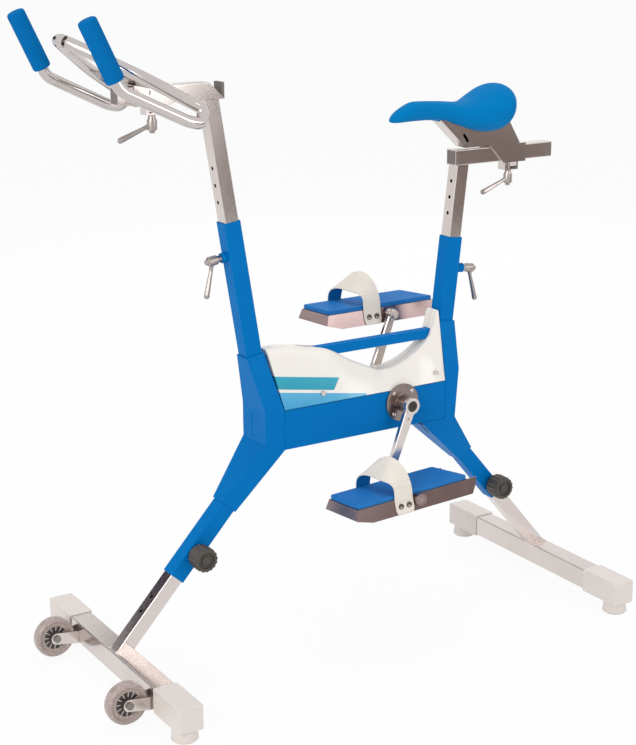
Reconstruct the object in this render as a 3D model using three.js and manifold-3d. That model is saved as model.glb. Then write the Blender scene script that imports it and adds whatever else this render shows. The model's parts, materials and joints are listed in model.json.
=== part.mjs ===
// Aqua bike: a pool exercise bike of painted and plain stainless square tube, with a telescoping
// handlebar post, saddle post and two telescoping feet, and water-paddle pedals.
// Millimetres. -X is the front, -Y the rider's left, +Z up, the floor at zero, the mid-plane at Y = 0.
import * as THREE from "three";
import { RoundedBoxGeometry } from "three/addons/geometries/RoundedBoxGeometry.js";
import { mergeVertices } from "three/addons/utils/BufferGeometryUtils.js";
import Module from "manifold-3d";

const wasm = await Module();
wasm.setup();

// Fits and working values
const RUNNING_GAP = 0.3;
const SLIDING_GAP = 0.5;
const CUT_OVERRUN = 6;
const WELD_OVERLAP = 0.8;
const VERTEX_MERGE = 0.0005;

// Square tube stock: the blue sleeves, and the stainless tubes that slide in them
const SLEEVE_SIDE = 35;
const SLEEVE_WALL = 2;
const SLEEVE_CORNER = 2.5;
const INNER_SIDE = SLEEVE_SIDE - 2 * SLEEVE_WALL - 2 * SLIDING_GAP;
const INNER_WALL = 2;
const INNER_CORNER = 2;

// Central beam
const BEAM_WIDTH = 90;
const BEAM_HEIGHT = 81;
const BEAM_WALL = 3;
const BEAM_BOTTOM = 427.5;
const BEAM_FRONT = -97.5;
const BEAM_REAR = 293.5;

// Front post: sleeve mouth, lean and lengths along the post
const FRONT_MOUTH_X = -190;
const FRONT_MOUTH_Z = 890;
const FRONT_LEAN = THREE.MathUtils.degToRad(-9);
const FRONT_SLEEVE_LENGTH = 276;
const FRONT_INSERTION = 182;

// Rear post
const REAR_MOUTH_X = 335;
const REAR_MOUTH_Z = 805;
const REAR_LEAN = THREE.MathUtils.degToRad(6.8);
const REAR_SLEEVE_LENGTH = 182;
const REAR_INSERTION = 110;

// Rails on top of the posts
const RAIL_SIDE = 32;
const RAIL_WALL = 2;
const RAIL_CORNER = 2;
const BAR_RAIL_BOTTOM = 1121.6;
const BAR_RAIL_FRONT = -416;
const BAR_RAIL_REAR = -200;
const SADDLE_RAIL_BOTTOM = 952.6;
const SADDLE_RAIL_FRONT = 333;
const SADDLE_RAIL_REAR = 584;

// Legs: slope below the horizontal, and the place of each sleeve's lower mouth
const FRONT_LEG_SLOPE = THREE.MathUtils.degToRad(47.3);
const FRONT_LEG_MOUTH_X = -331;
const FRONT_LEG_MOUTH_Z = 196;
const FRONT_LEG_SLEEVE = 183;
const REAR_LEG_SLOPE = THREE.MathUtils.degToRad(49.8);
const REAR_LEG_MOUTH_X = 460;
const REAR_LEG_MOUTH_Z = 220;
const REAR_LEG_SLEEVE = 200;
const LEG_INSERTION = 145;

// Base tubes across the bike, each a little beyond the point where its leg's axis meets its top
const BASE_SIDE = 45;
const BASE_WALL = 2;
const BASE_CORNER = 3;
const BASE_BOTTOM = 27;
const BASE_HALF_LENGTH = 290;
const FRONT_BASE_BEYOND = 4.576;
const REAR_BASE_BEYOND = 4.930;

// Crank and pedals
const CRANK_X = 182;
const CRANK_Z = 481.5;
const CRANK_LENGTH = 165;
const CRANK_ANGLE = THREE.MathUtils.degToRad(21);
const PEDAL_CENTRE_Y = 146;
const LEFT_PEDAL_PITCH = THREE.MathUtils.degToRad(2.9);
const RIGHT_PEDAL_PITCH = THREE.MathUtils.degToRad(0.2);

// Colours and finishes
const finish = (color, roughness, metalness) =>
  new THREE.MeshStandardMaterial({ color, roughness, metalness });
const bluePaint = finish(0x0073be, 0.35, 0.1);
const steel = finish(0xc4bab4, 0.25, 1);
const darkSteel = finish(0x8e8684, 0.35, 1);
const cream = finish(0xe8ded6, 0.5, 0);
const coverWhite = finish(0xf3efe6, 0.3, 0);
const foamBlue = finish(0x0a69b4, 0.8, 0);
const saddleBlue = finish(0x007cbe, 0.55, 0);
const padBlue = finish(0x1e64b4, 0.7, 0);
const strapCream = finish(0xebe4d7, 0.6, 0);
const knobBlack = finish(0x4b4137, 0.6, 0);
const capBlack = finish(0x2a2622, 0.5, 0);
const wheelClear = finish(0xd8c4be, 0.3, 0);

const SIDES = [["left", -1], ["right", 1]];
const beamTop = BEAM_BOTTOM + BEAM_HEIGHT;
const beamSide = BEAM_WIDTH / 2;
const baseTop = BASE_BOTTOM + BASE_SIDE;
const frontLegRun = (FRONT_LEG_MOUTH_Z - baseTop) / Math.tan(FRONT_LEG_SLOPE);
const rearLegRun = (REAR_LEG_MOUTH_Z - baseTop) / Math.tan(REAR_LEG_SLOPE);
const frontBaseX = FRONT_LEG_MOUTH_X - frontLegRun - FRONT_BASE_BEYOND;
const rearBaseX = REAR_LEG_MOUTH_X + rearLegRun + REAR_BASE_BEYOND;
const point = (x, y, z) => new THREE.Vector3(x, y, z);
// Low and high Y of a span between two distances from the mid-plane, on one side of the bike
const spanY = (side, near, far) => (side < 0 ? [-far, -near] : [near, far]);

// A closed geometry as a solid that can be cut and joined
function solid(geometry) {
  const source = geometry.index ? geometry.toNonIndexed() : geometry;
  const bare = new THREE.BufferGeometry();
  bare.setAttribute("position", source.getAttribute("position"));
  const merged = mergeVertices(bare, VERTEX_MERGE);
  const triVerts = new Uint32Array(merged.index.array);
  const vertProperties = merged.getAttribute("position").array;
  return new wasm.Manifold(new wasm.Mesh({ numProp: 3, vertProperties, triVerts }));
}

// The geometry of a finished solid, flat shaded
function geometryOf(shape) {
  const cut = shape.getMesh();
  const positions = new Float32Array(cut.numVert * 3);
  for (let vertex = 0; vertex < cut.numVert; vertex++) {
    const start = vertex * cut.numProp;
    positions.set(cut.vertProperties.subarray(start, start + 3), vertex * 3);
  }
  const indexed = new THREE.BufferGeometry();
  indexed.setAttribute("position", new THREE.BufferAttribute(positions, 3));
  indexed.setIndex(new THREE.BufferAttribute(new Uint32Array(cut.triVerts), 1));
  const flat = indexed.toNonIndexed();
  flat.computeVertexNormals();
  return flat;
}

function addPiece(parent, name, shape, material) {
  const piece = new THREE.Mesh(geometryOf(shape), material);
  piece.name = name;
  parent.add(piece);
  return piece;
}

const joined = (shapes) => shapes.reduce((whole, shape) => whole.add(shape));
const without = (shape, cutters) => cutters.reduce((rest, cutter) => rest.subtract(cutter), shape);
const moved = (geometry, matrix) => solid(geometry.clone().applyMatrix4(matrix));

// A group whose +Z runs along a tube axis in the mid-plane: turn is its angle from the vertical
function axisFrame(parent, name, x, z, turn, y = 0) {
  const frame = new THREE.Group();
  frame.name = name;
  frame.position.set(x, y, z);
  frame.rotation.y = turn;
  frame.updateMatrix();
  parent.add(frame);
  return frame;
}

const boxGeometry = (low, high) =>
  new THREE.BoxGeometry(high.x - low.x, high.y - low.y, high.z - low.z).translate(
    (low.x + high.x) / 2,
    (low.y + high.y) / 2,
    (low.z + high.z) / 2,
  );
const box = (low, high) => solid(boxGeometry(low, high));

// Round bar between two heights of its own axis, turned to lie along X, Y or Z
const AXIS_TURNS = {
  x: new THREE.Matrix4().makeRotationZ(-Math.PI / 2),
  y: new THREE.Matrix4(),
  z: new THREE.Matrix4().makeRotationX(Math.PI / 2),
};
function barGeometry(radius, from, to, axis, sides = 12, topRadius = radius) {
  const bar = new THREE.CylinderGeometry(topRadius, radius, to - from, sides);
  bar.translate(0, (from + to) / 2, 0);
  return bar.applyMatrix4(AXIS_TURNS[axis]);
}
const bar = (radius, from, to, axis, sides, topRadius) =>
  solid(barGeometry(radius, from, to, axis, sides, topRadius));

// A turned piece from a closed profile of [radius, height] points, about X, Y or Z
function turned(profile, axis, sides = 20) {
  const points = profile.map(([radius, height]) => new THREE.Vector2(radius, height));
  const lathe = new THREE.LatheGeometry([...points, points[0].clone()], sides);
  const shape = solid(lathe.applyMatrix4(AXIS_TURNS[axis]));
  return shape.volume() < 0 ? turned([...profile].reverse(), axis, sides) : shape;
}

// A closed skin through sections that all have the same number of points
function loftGeometry(sections) {
  const count = sections[0].length;
  const positions = sections.flat().flatMap((corner) => corner.toArray());
  const index = [];
  for (let step = 0; step + 1 < sections.length; step++)
    for (let side = 0; side < count; side++) {
      const a = step * count + side;
      const b = step * count + ((side + 1) % count);
      index.push(a, b, b + count, a, b + count, a + count);
    }
  const flat = sections[0].map((corner, k) => new THREE.Vector2(k, 0));
  capTriangles(sections[0], flat).forEach(([a, b, c]) => index.push(c, b, a));
  const last = (sections.length - 1) * count;
  capTriangles(sections.at(-1), flat).forEach(([a, b, c]) => index.push(last + a, last + b, last + c));
  const geometry = new THREE.BufferGeometry();
  geometry.setAttribute("position", new THREE.Float32BufferAttribute(positions, 3));
  geometry.setIndex(index);
  return geometry.toNonIndexed();
}

// Triangles of one end section, by its outline as seen along its own normal
function capTriangles(section, flat) {
  const normal = point(0, 0, 0);
  section.forEach((corner, k) => {
    const next = section[(k + 1) % section.length];
    normal.add(corner.clone().cross(next));
  });
  normal.normalize();
  const across = section[1].clone().sub(section[0]).normalize();
  const up = normal.clone().cross(across);
  section.forEach((corner, k) => flat[k].set(corner.dot(across), corner.dot(up)));
  return THREE.ShapeUtils.triangulateShape(flat, []);
}

function loft(sections) {
  const shape = solid(loftGeometry(sections));
  return shape.volume() < 0 ? loft([...sections].reverse()) : shape;
}

// A four-sided section across the bike: its front and rear edges as [x, z], and its half width
const acrossSection = ([frontX, frontZ], [rearX, rearZ], half) => [
  point(frontX, -half, frontZ),
  point(rearX, -half, rearZ),
  point(rearX, half, rearZ),
  point(frontX, half, frontZ),
];

// Square outline with rounded corners, and a hole for the bore of a tube
function squareOutline(side, corner) {
  const half = side / 2;
  const straight = half - corner;
  const outline = new THREE.Shape();
  outline.moveTo(-straight, -half);
  outline.lineTo(straight, -half);
  outline.absarc(straight, -straight, corner, -Math.PI / 2, 0);
  outline.absarc(straight, straight, corner, 0, Math.PI / 2);
  outline.absarc(-straight, straight, corner, Math.PI / 2, Math.PI);
  outline.absarc(-straight, -straight, corner, Math.PI, (3 * Math.PI) / 2);
  return outline;
}
function squareTubeGeometry(side, wall, corner, from, to) {
  const outline = squareOutline(side, corner);
  if (wall) outline.holes.push(squareOutline(side - 2 * wall, corner - wall / 2));
  const tube = new THREE.ExtrudeGeometry(outline, { depth: to - from, bevelEnabled: false, curveSegments: 2 });
  return tube.translate(0, 0, from);
}
const squareTube = (side, wall, corner, from, to) => solid(squareTubeGeometry(side, wall, corner, from, to));

// Turns a piece made along +Z so that it runs along X at a given height, or along Y
const alongX = (z) => new THREE.Matrix4().makeRotationY(Math.PI / 2).setPosition(0, 0, z);
const alongY = (x, z) => new THREE.Matrix4().makeRotationX(-Math.PI / 2).setPosition(x, 0, z);

const bike = new THREE.Group();
bike.name = "aqua_bike";
const frontPost = axisFrame(bike, "front_post_axis", FRONT_MOUTH_X, FRONT_MOUTH_Z, FRONT_LEAN);
const rearPost = axisFrame(bike, "rear_post_axis", REAR_MOUTH_X, REAR_MOUTH_Z, REAR_LEAN);
const frontLeg = axisFrame(
  bike,
  "front_leg_axis",
  FRONT_LEG_MOUTH_X,
  FRONT_LEG_MOUTH_Z,
  -Math.PI / 2 - FRONT_LEG_SLOPE,
);
const rearLeg = axisFrame(
  bike,
  "rear_leg_axis",
  REAR_LEG_MOUTH_X,
  REAR_LEG_MOUTH_Z,
  Math.PI / 2 + REAR_LEG_SLOPE,
);
// Where a point [along, out] of a tube frame lies in the mid-plane of the bike
function planePoint(frame, along, out) {
  const place = point(out, 0, along).applyMatrix4(frame.matrix);
  return [place.x, place.z];
}

// Frame junctions: folded plate boxes that flare out to each sleeve
const junction = {
  wall: 3,
  lip: 1.9,
  frontNeck: 270.5,
  rearNeck: 176.5,
  frontFaceX: -142,
  frontRidgeZ: 514,
  frontBackRidgeZ: 509,
  frontBottomZ: 444,
  frontLegNeck: 173.5,
  rearBackX: 328,
  rearRidgeZ: 536,
  rearBackRidgeZ: 531,
  rearBottomX: 319,
  rearUnderX: 233,
  rearLegNeck: 141,
  panelWidth: 22,
  panelLow: 454,
  panelHigh: 500,
  panelDepth: 1.2,
  plugLength: 24,
  plugWidth: 7,
  plugDrop: 22,
};
// Section of a flare round a sleeve, square to the tube, its walls grown by a margin
function neckSection(frame, along, margin) {
  const half = SLEEVE_SIDE / 2 + RUNNING_GAP + margin;
  const [low, high] = [planePoint(frame, along, -half), planePoint(frame, along, half)];
  const ends = low[0] < high[0] ? [low, high] : [high, low];
  return acrossSection(...ends, half);
}

function frontJunctionSkin(inset, overrun) {
  const half = BEAM_WIDTH / 2 - inset;
  const lip = inset ? 0 : junction.lip;
  const back = BEAM_FRONT - RUNNING_GAP - inset;
  const front = junction.frontFaceX + inset;
  return loft([
    neckSection(frontPost, -junction.frontNeck + overrun, lip),
    neckSection(frontPost, -junction.frontNeck - overrun, lip),
    acrossSection([front, junction.frontRidgeZ], [back, junction.frontBackRidgeZ], half),
    acrossSection([front, junction.frontBottomZ], [back, BEAM_BOTTOM], half),
    neckSection(frontLeg, -junction.frontLegNeck - overrun, lip),
    neckSection(frontLeg, -junction.frontLegNeck + overrun, lip),
  ]);
}

function addFrontJunction() {
  const panelHalf = junction.panelWidth / 2;
  const panel = box(
    point(junction.frontFaceX - CUT_OVERRUN, -panelHalf, junction.panelLow),
    point(junction.frontFaceX + junction.panelDepth, panelHalf, junction.panelHigh),
  );
  const skin = frontJunctionSkin(0, WELD_OVERLAP);
  const hollow = frontJunctionSkin(junction.wall, CUT_OVERRUN);
  addPiece(bike, "front_junction", without(skin, [hollow, panel]), bluePaint);
}

function rearJunctionSkin(inset, overrun) {
  const half = BEAM_WIDTH / 2 - inset;
  const lip = inset ? 0 : junction.lip;
  const front = BEAM_REAR + RUNNING_GAP + inset;
  const under = BEAM_BOTTOM - RUNNING_GAP - inset;
  const upper = loft([
    neckSection(rearPost, -junction.rearNeck + overrun, lip),
    neckSection(rearPost, -junction.rearNeck - overrun, lip),
    acrossSection([front, junction.rearRidgeZ], [junction.rearBackX - inset, junction.rearBackRidgeZ], half),
    acrossSection([front, under - CUT_OVERRUN], [junction.rearBottomX - inset, under - CUT_OVERRUN], half),
  ]);
  const lower = loft([
    acrossSection([junction.rearUnderX + inset, under], [junction.rearBottomX - inset, under], half),
    neckSection(rearLeg, -junction.rearLegNeck - overrun, lip),
    neckSection(rearLeg, -junction.rearLegNeck + overrun, lip),
  ]);
  return upper.add(lower);
}

// The slot plug is a dark drain slot in the underside of the rear flare
function addRearJunction() {
  const skin = rearJunctionSkin(0, WELD_OVERLAP);
  const hollow = rearJunctionSkin(junction.wall, CUT_OVERRUN);
  const low = BEAM_BOTTOM - junction.plugDrop;
  const slot = boxGeometry(
    point(-junction.plugLength / 2, -junction.plugWidth / 2, -CUT_OVERRUN),
    point(junction.plugLength / 2, junction.plugWidth / 2, CUT_OVERRUN),
  );
  const foot = planePoint(rearLeg, -junction.rearLegNeck, SLEEVE_SIDE / 2);
  const slope = Math.atan2(BEAM_BOTTOM - foot[1], foot[0] - junction.rearUnderX);
  const x = junction.rearUnderX + junction.plugDrop / Math.tan(slope);
  const place = new THREE.Matrix4().makeRotationY(slope).setPosition(x, -BEAM_WIDTH / 4, low);
  addPiece(bike, "rear_junction", without(skin, [hollow, moved(slot, place)]), bluePaint);
}

// Beam with the bores for the crank bearings and the tabs that the cover screws bite in
const cover = {
  wall: 2.5,
  stripHalf: 18,
  splitHalf: 0.5,
  edgeRound: 3,
  seat: 1,
  frontTopX: -121,
  tubeClearance: 1,
  frontScrewX: -6,
  rearScrewX: 272,
  screwRise: 21,
  screwHeadRadius: 5,
  screwHeadHeight: 2.4,
  screwRadius: 2.2,
  screwTip: 2,
  tabWidth: 18,
  tabHeight: 27,
  tabThickness: 3,
  tabOut: 28,
  crownHeight: 146.5,
  finRootHeight: 88,
};
// Crown line of the cover from front to rear: [share of its length, share of its greatest height]
const crownShares = [
  [0, 0.83],
  [0.055, 0.836],
  [0.14, 0.816],
  [0.235, 0.765],
  [0.35, 0.693],
  [0.49, 0.474],
  [0.585, 0.352],
  [0.645, 0.276],
  [0.71, 0.28],
  [0.795, 0.348],
  [0.885, 0.485],
  [0.94, 0.614],
  [0.968, 0.737],
  [0.984, 0.956],
  [1, 1],
];
const coverScrews = [["front", cover.frontScrewX], ["rear", cover.rearScrewX]];
const hub = {
  axleRadius: 9,
  bearingRadius: 17.5,
  bearingWidth: 11,
  hubRadius: 22.5,
  hubInner: 24,
  discRadius: 39.5,
  discThickness: 4.5,
  collarRadius: 17.5,
  collarOut: 70,
  screwCircle: 31,
  screwRadius: 4,
  screwHeight: 2,
  screwCount: 4,
};

function addBeam() {
  const half = BEAM_WIDTH / 2;
  const outside = box(point(BEAM_FRONT, -half, BEAM_BOTTOM), point(BEAM_REAR, half, beamTop));
  const inner = box(
    point(BEAM_FRONT - CUT_OVERRUN, -half + BEAM_WALL, BEAM_BOTTOM + BEAM_WALL),
    point(BEAM_REAR + CUT_OVERRUN, half - BEAM_WALL, beamTop - BEAM_WALL),
  );
  const reach = half + CUT_OVERRUN;
  const bore = barGeometry(hub.hubRadius + RUNNING_GAP, -reach, reach, "y", 24).translate(CRANK_X, 0, CRANK_Z);
  const tabs = coverScrews.flatMap(([, x]) => SIDES.map(([, side]) => coverTab(x, side)));
  addPiece(bike, "beam", without(joined([outside, ...tabs]), [inner, solid(bore)]), bluePaint);
}

function coverTab(x, side) {
  const [low, high] = spanY(side, cover.tabOut - cover.tabThickness, cover.tabOut);
  const tab = box(
    point(x - cover.tabWidth / 2, low, beamTop - WELD_OVERLAP),
    point(x + cover.tabWidth / 2, high, beamTop + cover.tabHeight),
  );
  const reach = cover.tabThickness + CUT_OVERRUN;
  const hole = barGeometry(cover.screwRadius + RUNNING_GAP, -reach, reach, "y", 8);
  return tab.subtract(solid(hole.translate(x, side * cover.tabOut, beamTop + cover.screwRise)));
}

// Sleeves: blue square tubes with a welded boss for the clamp screw
const clamp = {
  studRadius: 4,
  bossRadius: 10,
  bossHeight: 11,
  rearBossHeight: 20,
  drop: 66.5,
  hubRadius: 9.5,
  neckRadius: 7,
  hubStart: 7,
  hubEnd: 31,
  headRadius: 5,
  headEnd: 34,
  armStart: 5.4,
  armWaist: 3.9,
  armEnd: 5.6,
  armReach: 64,
  armRise: 24,
  armRoot: 18,
  ballShare: 1.1,
};
const knob = {
  studRadius: 5,
  bossRadius: 12,
  bossHeight: 4,
  radius: 25,
  fluteDepth: 1.6,
  flutes: 16,
  length: 36,
  chamfer: 3,
  recessRadius: 16,
  recessDepth: 5,
  buttonRadius: 9.5,
  frontAlong: 62,
  rearAlong: 24,
  offset: 6,
};

function sleeveWithBoss(from, to, along, radius, height, studRadius, turn, out) {
  const tube = squareTube(SLEEVE_SIDE, SLEEVE_WALL, SLEEVE_CORNER, from, to);
  const face = SLEEVE_SIDE / 2;
  const place = turn.clone().setPosition(out, 0, along);
  const boss = moved(barGeometry(radius, face - WELD_OVERLAP, face + height, "z", 16), place);
  const hole = barGeometry(studRadius + RUNNING_GAP, face - CUT_OVERRUN, face + height + CUT_OVERRUN, "z", 10);
  return tube.add(boss).subtract(moved(hole, place));
}

// Turns that carry a piece made along +Z to the face of a tube that it stands on
const towardFront = new THREE.Matrix4().makeRotationY(-Math.PI / 2);
const towardRear = new THREE.Matrix4().makeRotationY(Math.PI / 2);
const towardLeft = new THREE.Matrix4().makeRotationX(Math.PI / 2);
const downward = new THREE.Matrix4().makeRotationX(Math.PI);

function addPostSleeves() {
  const rows = [
    ["front_post_sleeve", frontPost, FRONT_SLEEVE_LENGTH, clamp.bossHeight, towardFront],
    ["rear_post_sleeve", rearPost, REAR_SLEEVE_LENGTH, clamp.rearBossHeight, towardRear],
  ];
  rows.forEach(([name, frame, length, height, turn]) => {
    const { drop, bossRadius, studRadius } = clamp;
    const sleeve = sleeveWithBoss(-length, 0, -drop, bossRadius, height, studRadius, turn, 0);
    addPiece(frame, name, sleeve, bluePaint);
  });
}

function addLegSleeves() {
  const rows = [
    ["front_leg_sleeve", frontLeg, FRONT_LEG_SLEEVE, knob.frontAlong],
    ["rear_leg_sleeve", rearLeg, REAR_LEG_SLEEVE, knob.rearAlong],
  ];
  rows.forEach(([name, frame, length, along]) => {
    const { bossRadius, bossHeight, studRadius, offset } = knob;
    const sleeve = sleeveWithBoss(-length, 0, -along, bossRadius, bossHeight, studRadius, towardLeft, -offset);
    addPiece(frame, name, sleeve, bluePaint);
  });
}

// Brace between the posts
const brace = { side: 20, wall: 2, corner: 1.5, rise: 87.5 };
const braceBottom = beamTop + brace.rise;
function addBrace() {
  const middle = braceBottom + brace.side / 2;
  const neck = planePoint(frontPost, -junction.frontNeck, SLEEVE_SIDE / 2 + RUNNING_GAP + junction.lip);
  const ridge = [BEAM_FRONT - RUNNING_GAP, junction.frontBackRidgeZ];
  const lean = Math.atan2(neck[0] - ridge[0], neck[1] - ridge[1]);
  const tube = moved(
    squareTubeGeometry(brace.side, brace.wall, brace.corner, ridge[0] - BEAM_WIDTH, BEAM_REAR + brace.side),
    alongX(middle),
  );
  const cutter = boxGeometry(
    point(-BEAM_WIDTH - BEAM_HEIGHT, -brace.side, -BEAM_WIDTH),
    point(RUNNING_GAP, brace.side, BEAM_WIDTH * 2),
  );
  const place = new THREE.Matrix4().makeRotationY(lean).setPosition(ridge[0], 0, ridge[1]);
  const rearNeck = planePoint(rearPost, -junction.rearNeck, -SLEEVE_SIDE / 2 - RUNNING_GAP - junction.lip);
  const rearFace = BEAM_REAR + RUNNING_GAP;
  const heights = [braceBottom, junction.rearRidgeZ, rearNeck[1]];
  const rearEnd = THREE.MathUtils.mapLinear(...heights, rearFace, rearNeck[0]) - RUNNING_GAP;
  const rearCutter = box(
    point(rearEnd, -brace.side, braceBottom - CUT_OVERRUN),
    point(rearEnd + brace.side * 2, brace.side, braceBottom + brace.side + CUT_OVERRUN),
  );
  addPiece(bike, "brace_tube", without(tube, [moved(cutter, place), rearCutter]), bluePaint);
}

// Cover halves: leaning sides that rise to a narrow crown, split along the mid-plane
function coverSection(share, riseShare, side, inset) {
  const crown = riseShare * cover.crownHeight;
  const rise = inset ? Math.min(crown, cover.finRootHeight) - inset : crown;
  const bottomZ = beamTop + cover.seat - (inset ? CUT_OVERRUN : 0);
  const bottomX = THREE.MathUtils.lerp(BEAM_FRONT + cover.seat, BEAM_REAR - cover.seat, share);
  const topX = THREE.MathUtils.lerp(cover.frontTopX, BEAM_REAR - cover.seat, share);
  const topZ = beamTop + rise;
  const lean = (z) => THREE.MathUtils.lerp(bottomX, topX, (z - bottomZ) / (topZ - bottomZ));
  const bottomY = beamSide - inset;
  const topY = cover.stripHalf - inset;
  const split = inset ? -CUT_OVERRUN : cover.splitHalf;
  const roundZ = topZ - cover.edgeRound;
  const roundY = THREE.MathUtils.lerp(bottomY, topY, (roundZ - bottomZ) / (topZ - bottomZ));
  const corners = [
    [bottomY, bottomZ],
    [roundY, roundZ],
    [topY - cover.edgeRound / 2, topZ],
    [split, topZ],
    [split, bottomZ],
  ];
  return corners.map(([y, z]) => point(lean(z), side * y, z));
}

function coverBody(side, inset) {
  const rows = crownShares.map(([share, rise]) => coverSection(share, rise, side, inset));
  rows[0].forEach((corner) => corner.add(point(inset, 0, 0)));
  rows.at(-1).forEach((corner) => corner.add(point(-inset, 0, 0)));
  return loft(rows);
}

// Half width of the cover at a place along it and a height over the beam
function coverHalfWidth(x, height) {
  const share = (x - BEAM_FRONT) / (BEAM_REAR - BEAM_FRONT);
  const next = crownShares.findIndex(([at]) => at > share);
  const [[fromShare, from], [toShare, to]] = [crownShares[next - 1], crownShares[next]];
  const crown = cover.crownHeight * THREE.MathUtils.mapLinear(share, fromShare, toShare, from, to);
  return THREE.MathUtils.lerp(beamSide, cover.stripHalf, height / crown);
}

function addCovers() {
  const margin = cover.tubeClearance;
  const slot = box(
    point(cover.frontTopX - BEAM_WIDTH, -brace.side / 2 - margin, braceBottom - margin),
    point(BEAM_REAR + CUT_OVERRUN, brace.side / 2 + margin, braceBottom + brace.side + margin),
  );
  SIDES.forEach(([name, side]) => {
    const shell = coverBody(side, 0).subtract(coverBody(side, cover.wall));
    const span = spanY(side, cover.splitHalf, beamSide + CUT_OVERRUN);
    const holes = coverScrews.map(([, x]) => {
      const hole = barGeometry(cover.screwRadius + RUNNING_GAP, ...span, "y", 8);
      return solid(hole.translate(x, 0, beamTop + cover.screwRise));
    });
    addPiece(bike, "cover_" + name, without(shell, [slot, ...holes]), coverWhite);
  });
}

// Screws through the cover into the tabs on the beam
function addCoverScrews() {
  coverScrews.forEach(([end, x]) =>
    SIDES.forEach(([name, side]) => {
      const edges = SIDES.map(([, end]) => x + end * cover.screwHeadRadius);
      const widths = edges.map((at) => coverHalfWidth(at, cover.screwRise - cover.screwHeadRadius));
      const seat = Math.max(...widths) + SLIDING_GAP;
      const head = bar(cover.screwHeadRadius, ...spanY(side, seat, seat + cover.screwHeadHeight), "y", 12);
      const tip = cover.tabOut - cover.tabThickness - cover.screwTip;
      const shank = bar(cover.screwRadius, ...spanY(side, tip, seat + cover.screwHeadHeight / 2), "y", 8);
      const screw = addPiece(bike, `cover_screw_${name}_${end}`, head.add(shank), steel);
      screw.position.set(x, 0, beamTop + cover.screwRise);
    }),
  );
}

// Crank bearings in flanges bolted to both sides of the beam
function addBottomBracket() {
  SIDES.forEach(([name, side]) => {
    const seat = beamSide + RUNNING_GAP;
    const shoulder = hub.hubInner + hub.bearingWidth + RUNNING_GAP;
    const outline = [
      [hub.bearingRadius + RUNNING_GAP, hub.hubInner],
      [hub.hubRadius, hub.hubInner],
      [hub.hubRadius, seat],
      [hub.discRadius, seat],
      [hub.discRadius, seat + hub.discThickness],
      [hub.collarRadius, seat + hub.discThickness],
      [hub.collarRadius, hub.collarOut],
      [hub.axleRadius + SLIDING_GAP, hub.collarOut],
      [hub.axleRadius + SLIDING_GAP, shoulder],
      [hub.bearingRadius + RUNNING_GAP, shoulder],
    ];
    const flange = turned(outline.map(([radius, y]) => [radius, side * y]), "y", 20);
    const faceY = seat + hub.discThickness;
    const heads = Array.from({ length: hub.screwCount }, (_, k) => {
      const angle = ((k + 0.5) / hub.screwCount) * 2 * Math.PI;
      const [low, high] = spanY(side, faceY - WELD_OVERLAP, faceY + hub.screwHeight);
      const head = barGeometry(hub.screwRadius, low, high, "y", 8);
      return solid(head.translate(hub.screwCircle * Math.sin(angle), 0, hub.screwCircle * Math.cos(angle)));
    });
    const piece = addPiece(bike, "crank_flange_" + name, joined([flange, ...heads]), steel);
    piece.position.set(CRANK_X, 0, CRANK_Z);
    const ring = [
      [hub.axleRadius + RUNNING_GAP, hub.hubInner],
      [hub.bearingRadius, hub.hubInner],
      [hub.bearingRadius, hub.hubInner + hub.bearingWidth],
      [hub.axleRadius + RUNNING_GAP, hub.hubInner + hub.bearingWidth],
    ];
    const bearing = turned(ring.map(([radius, y]) => [radius, side * y]), "y", 16);
    addPiece(bike, "crank_bearing_" + name, bearing, darkSteel).position.set(CRANK_X, 0, CRANK_Z);
  });
}

// Crank: axle, two forged arms, dust caps and the pedal spindles
const crank = {
  armInner: 72.6,
  armThickness: 11,
  bossRadius: 17.5,
  rootHalf: 12,
  tipHalf: 8.5,
  eyeRadius: 11.5,
  bossThickness: 12.4,
  recessRadius: 11.5,
  recessDepth: 4.4,
  capThickness: 4,
  capDish: 1.4,
  shoulderRadius: 12,
  holeRadius: 2.8,
  holeDrop: 27,
  holeDepth: 4,
  edge: 1.5,
};
const spindle = {
  radius: 6.2,
  bore: 6.6,
  threadRadius: 7,
  nutRadius: 10,
  nutHeight: 6,
  collarRadius: 9.5,
  collarWidth: 5.4,
};
const armOuter = crank.armInner + crank.bossThickness;

function armShape(side) {
  const [low, high] = spanY(side, crank.armInner, crank.armInner + crank.armThickness);
  const outline = new THREE.Shape();
  outline.moveTo(-crank.rootHalf, 0);
  outline.lineTo(-crank.tipHalf, -CRANK_LENGTH);
  outline.lineTo(crank.tipHalf, -CRANK_LENGTH);
  outline.lineTo(crank.rootHalf, 0);
  const { edge } = crank;
  const depth = high - low - 2 * edge;
  const bevel = { bevelThickness: edge, bevelSize: edge, bevelOffset: -edge, bevelSegments: 1 };
  const blade = new THREE.ExtrudeGeometry(outline, { depth, ...bevel }).rotateX(Math.PI / 2);
  blade.translate(0, high - edge, 0);
  const boss = bar(crank.bossRadius, ...spanY(side, crank.armInner, armOuter), "y", 20);
  const eye = solid(barGeometry(crank.eyeRadius, low, high, "y", 16).translate(0, 0, -CRANK_LENGTH));
  return joined([solid(blade), boss, eye]);
}

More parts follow.
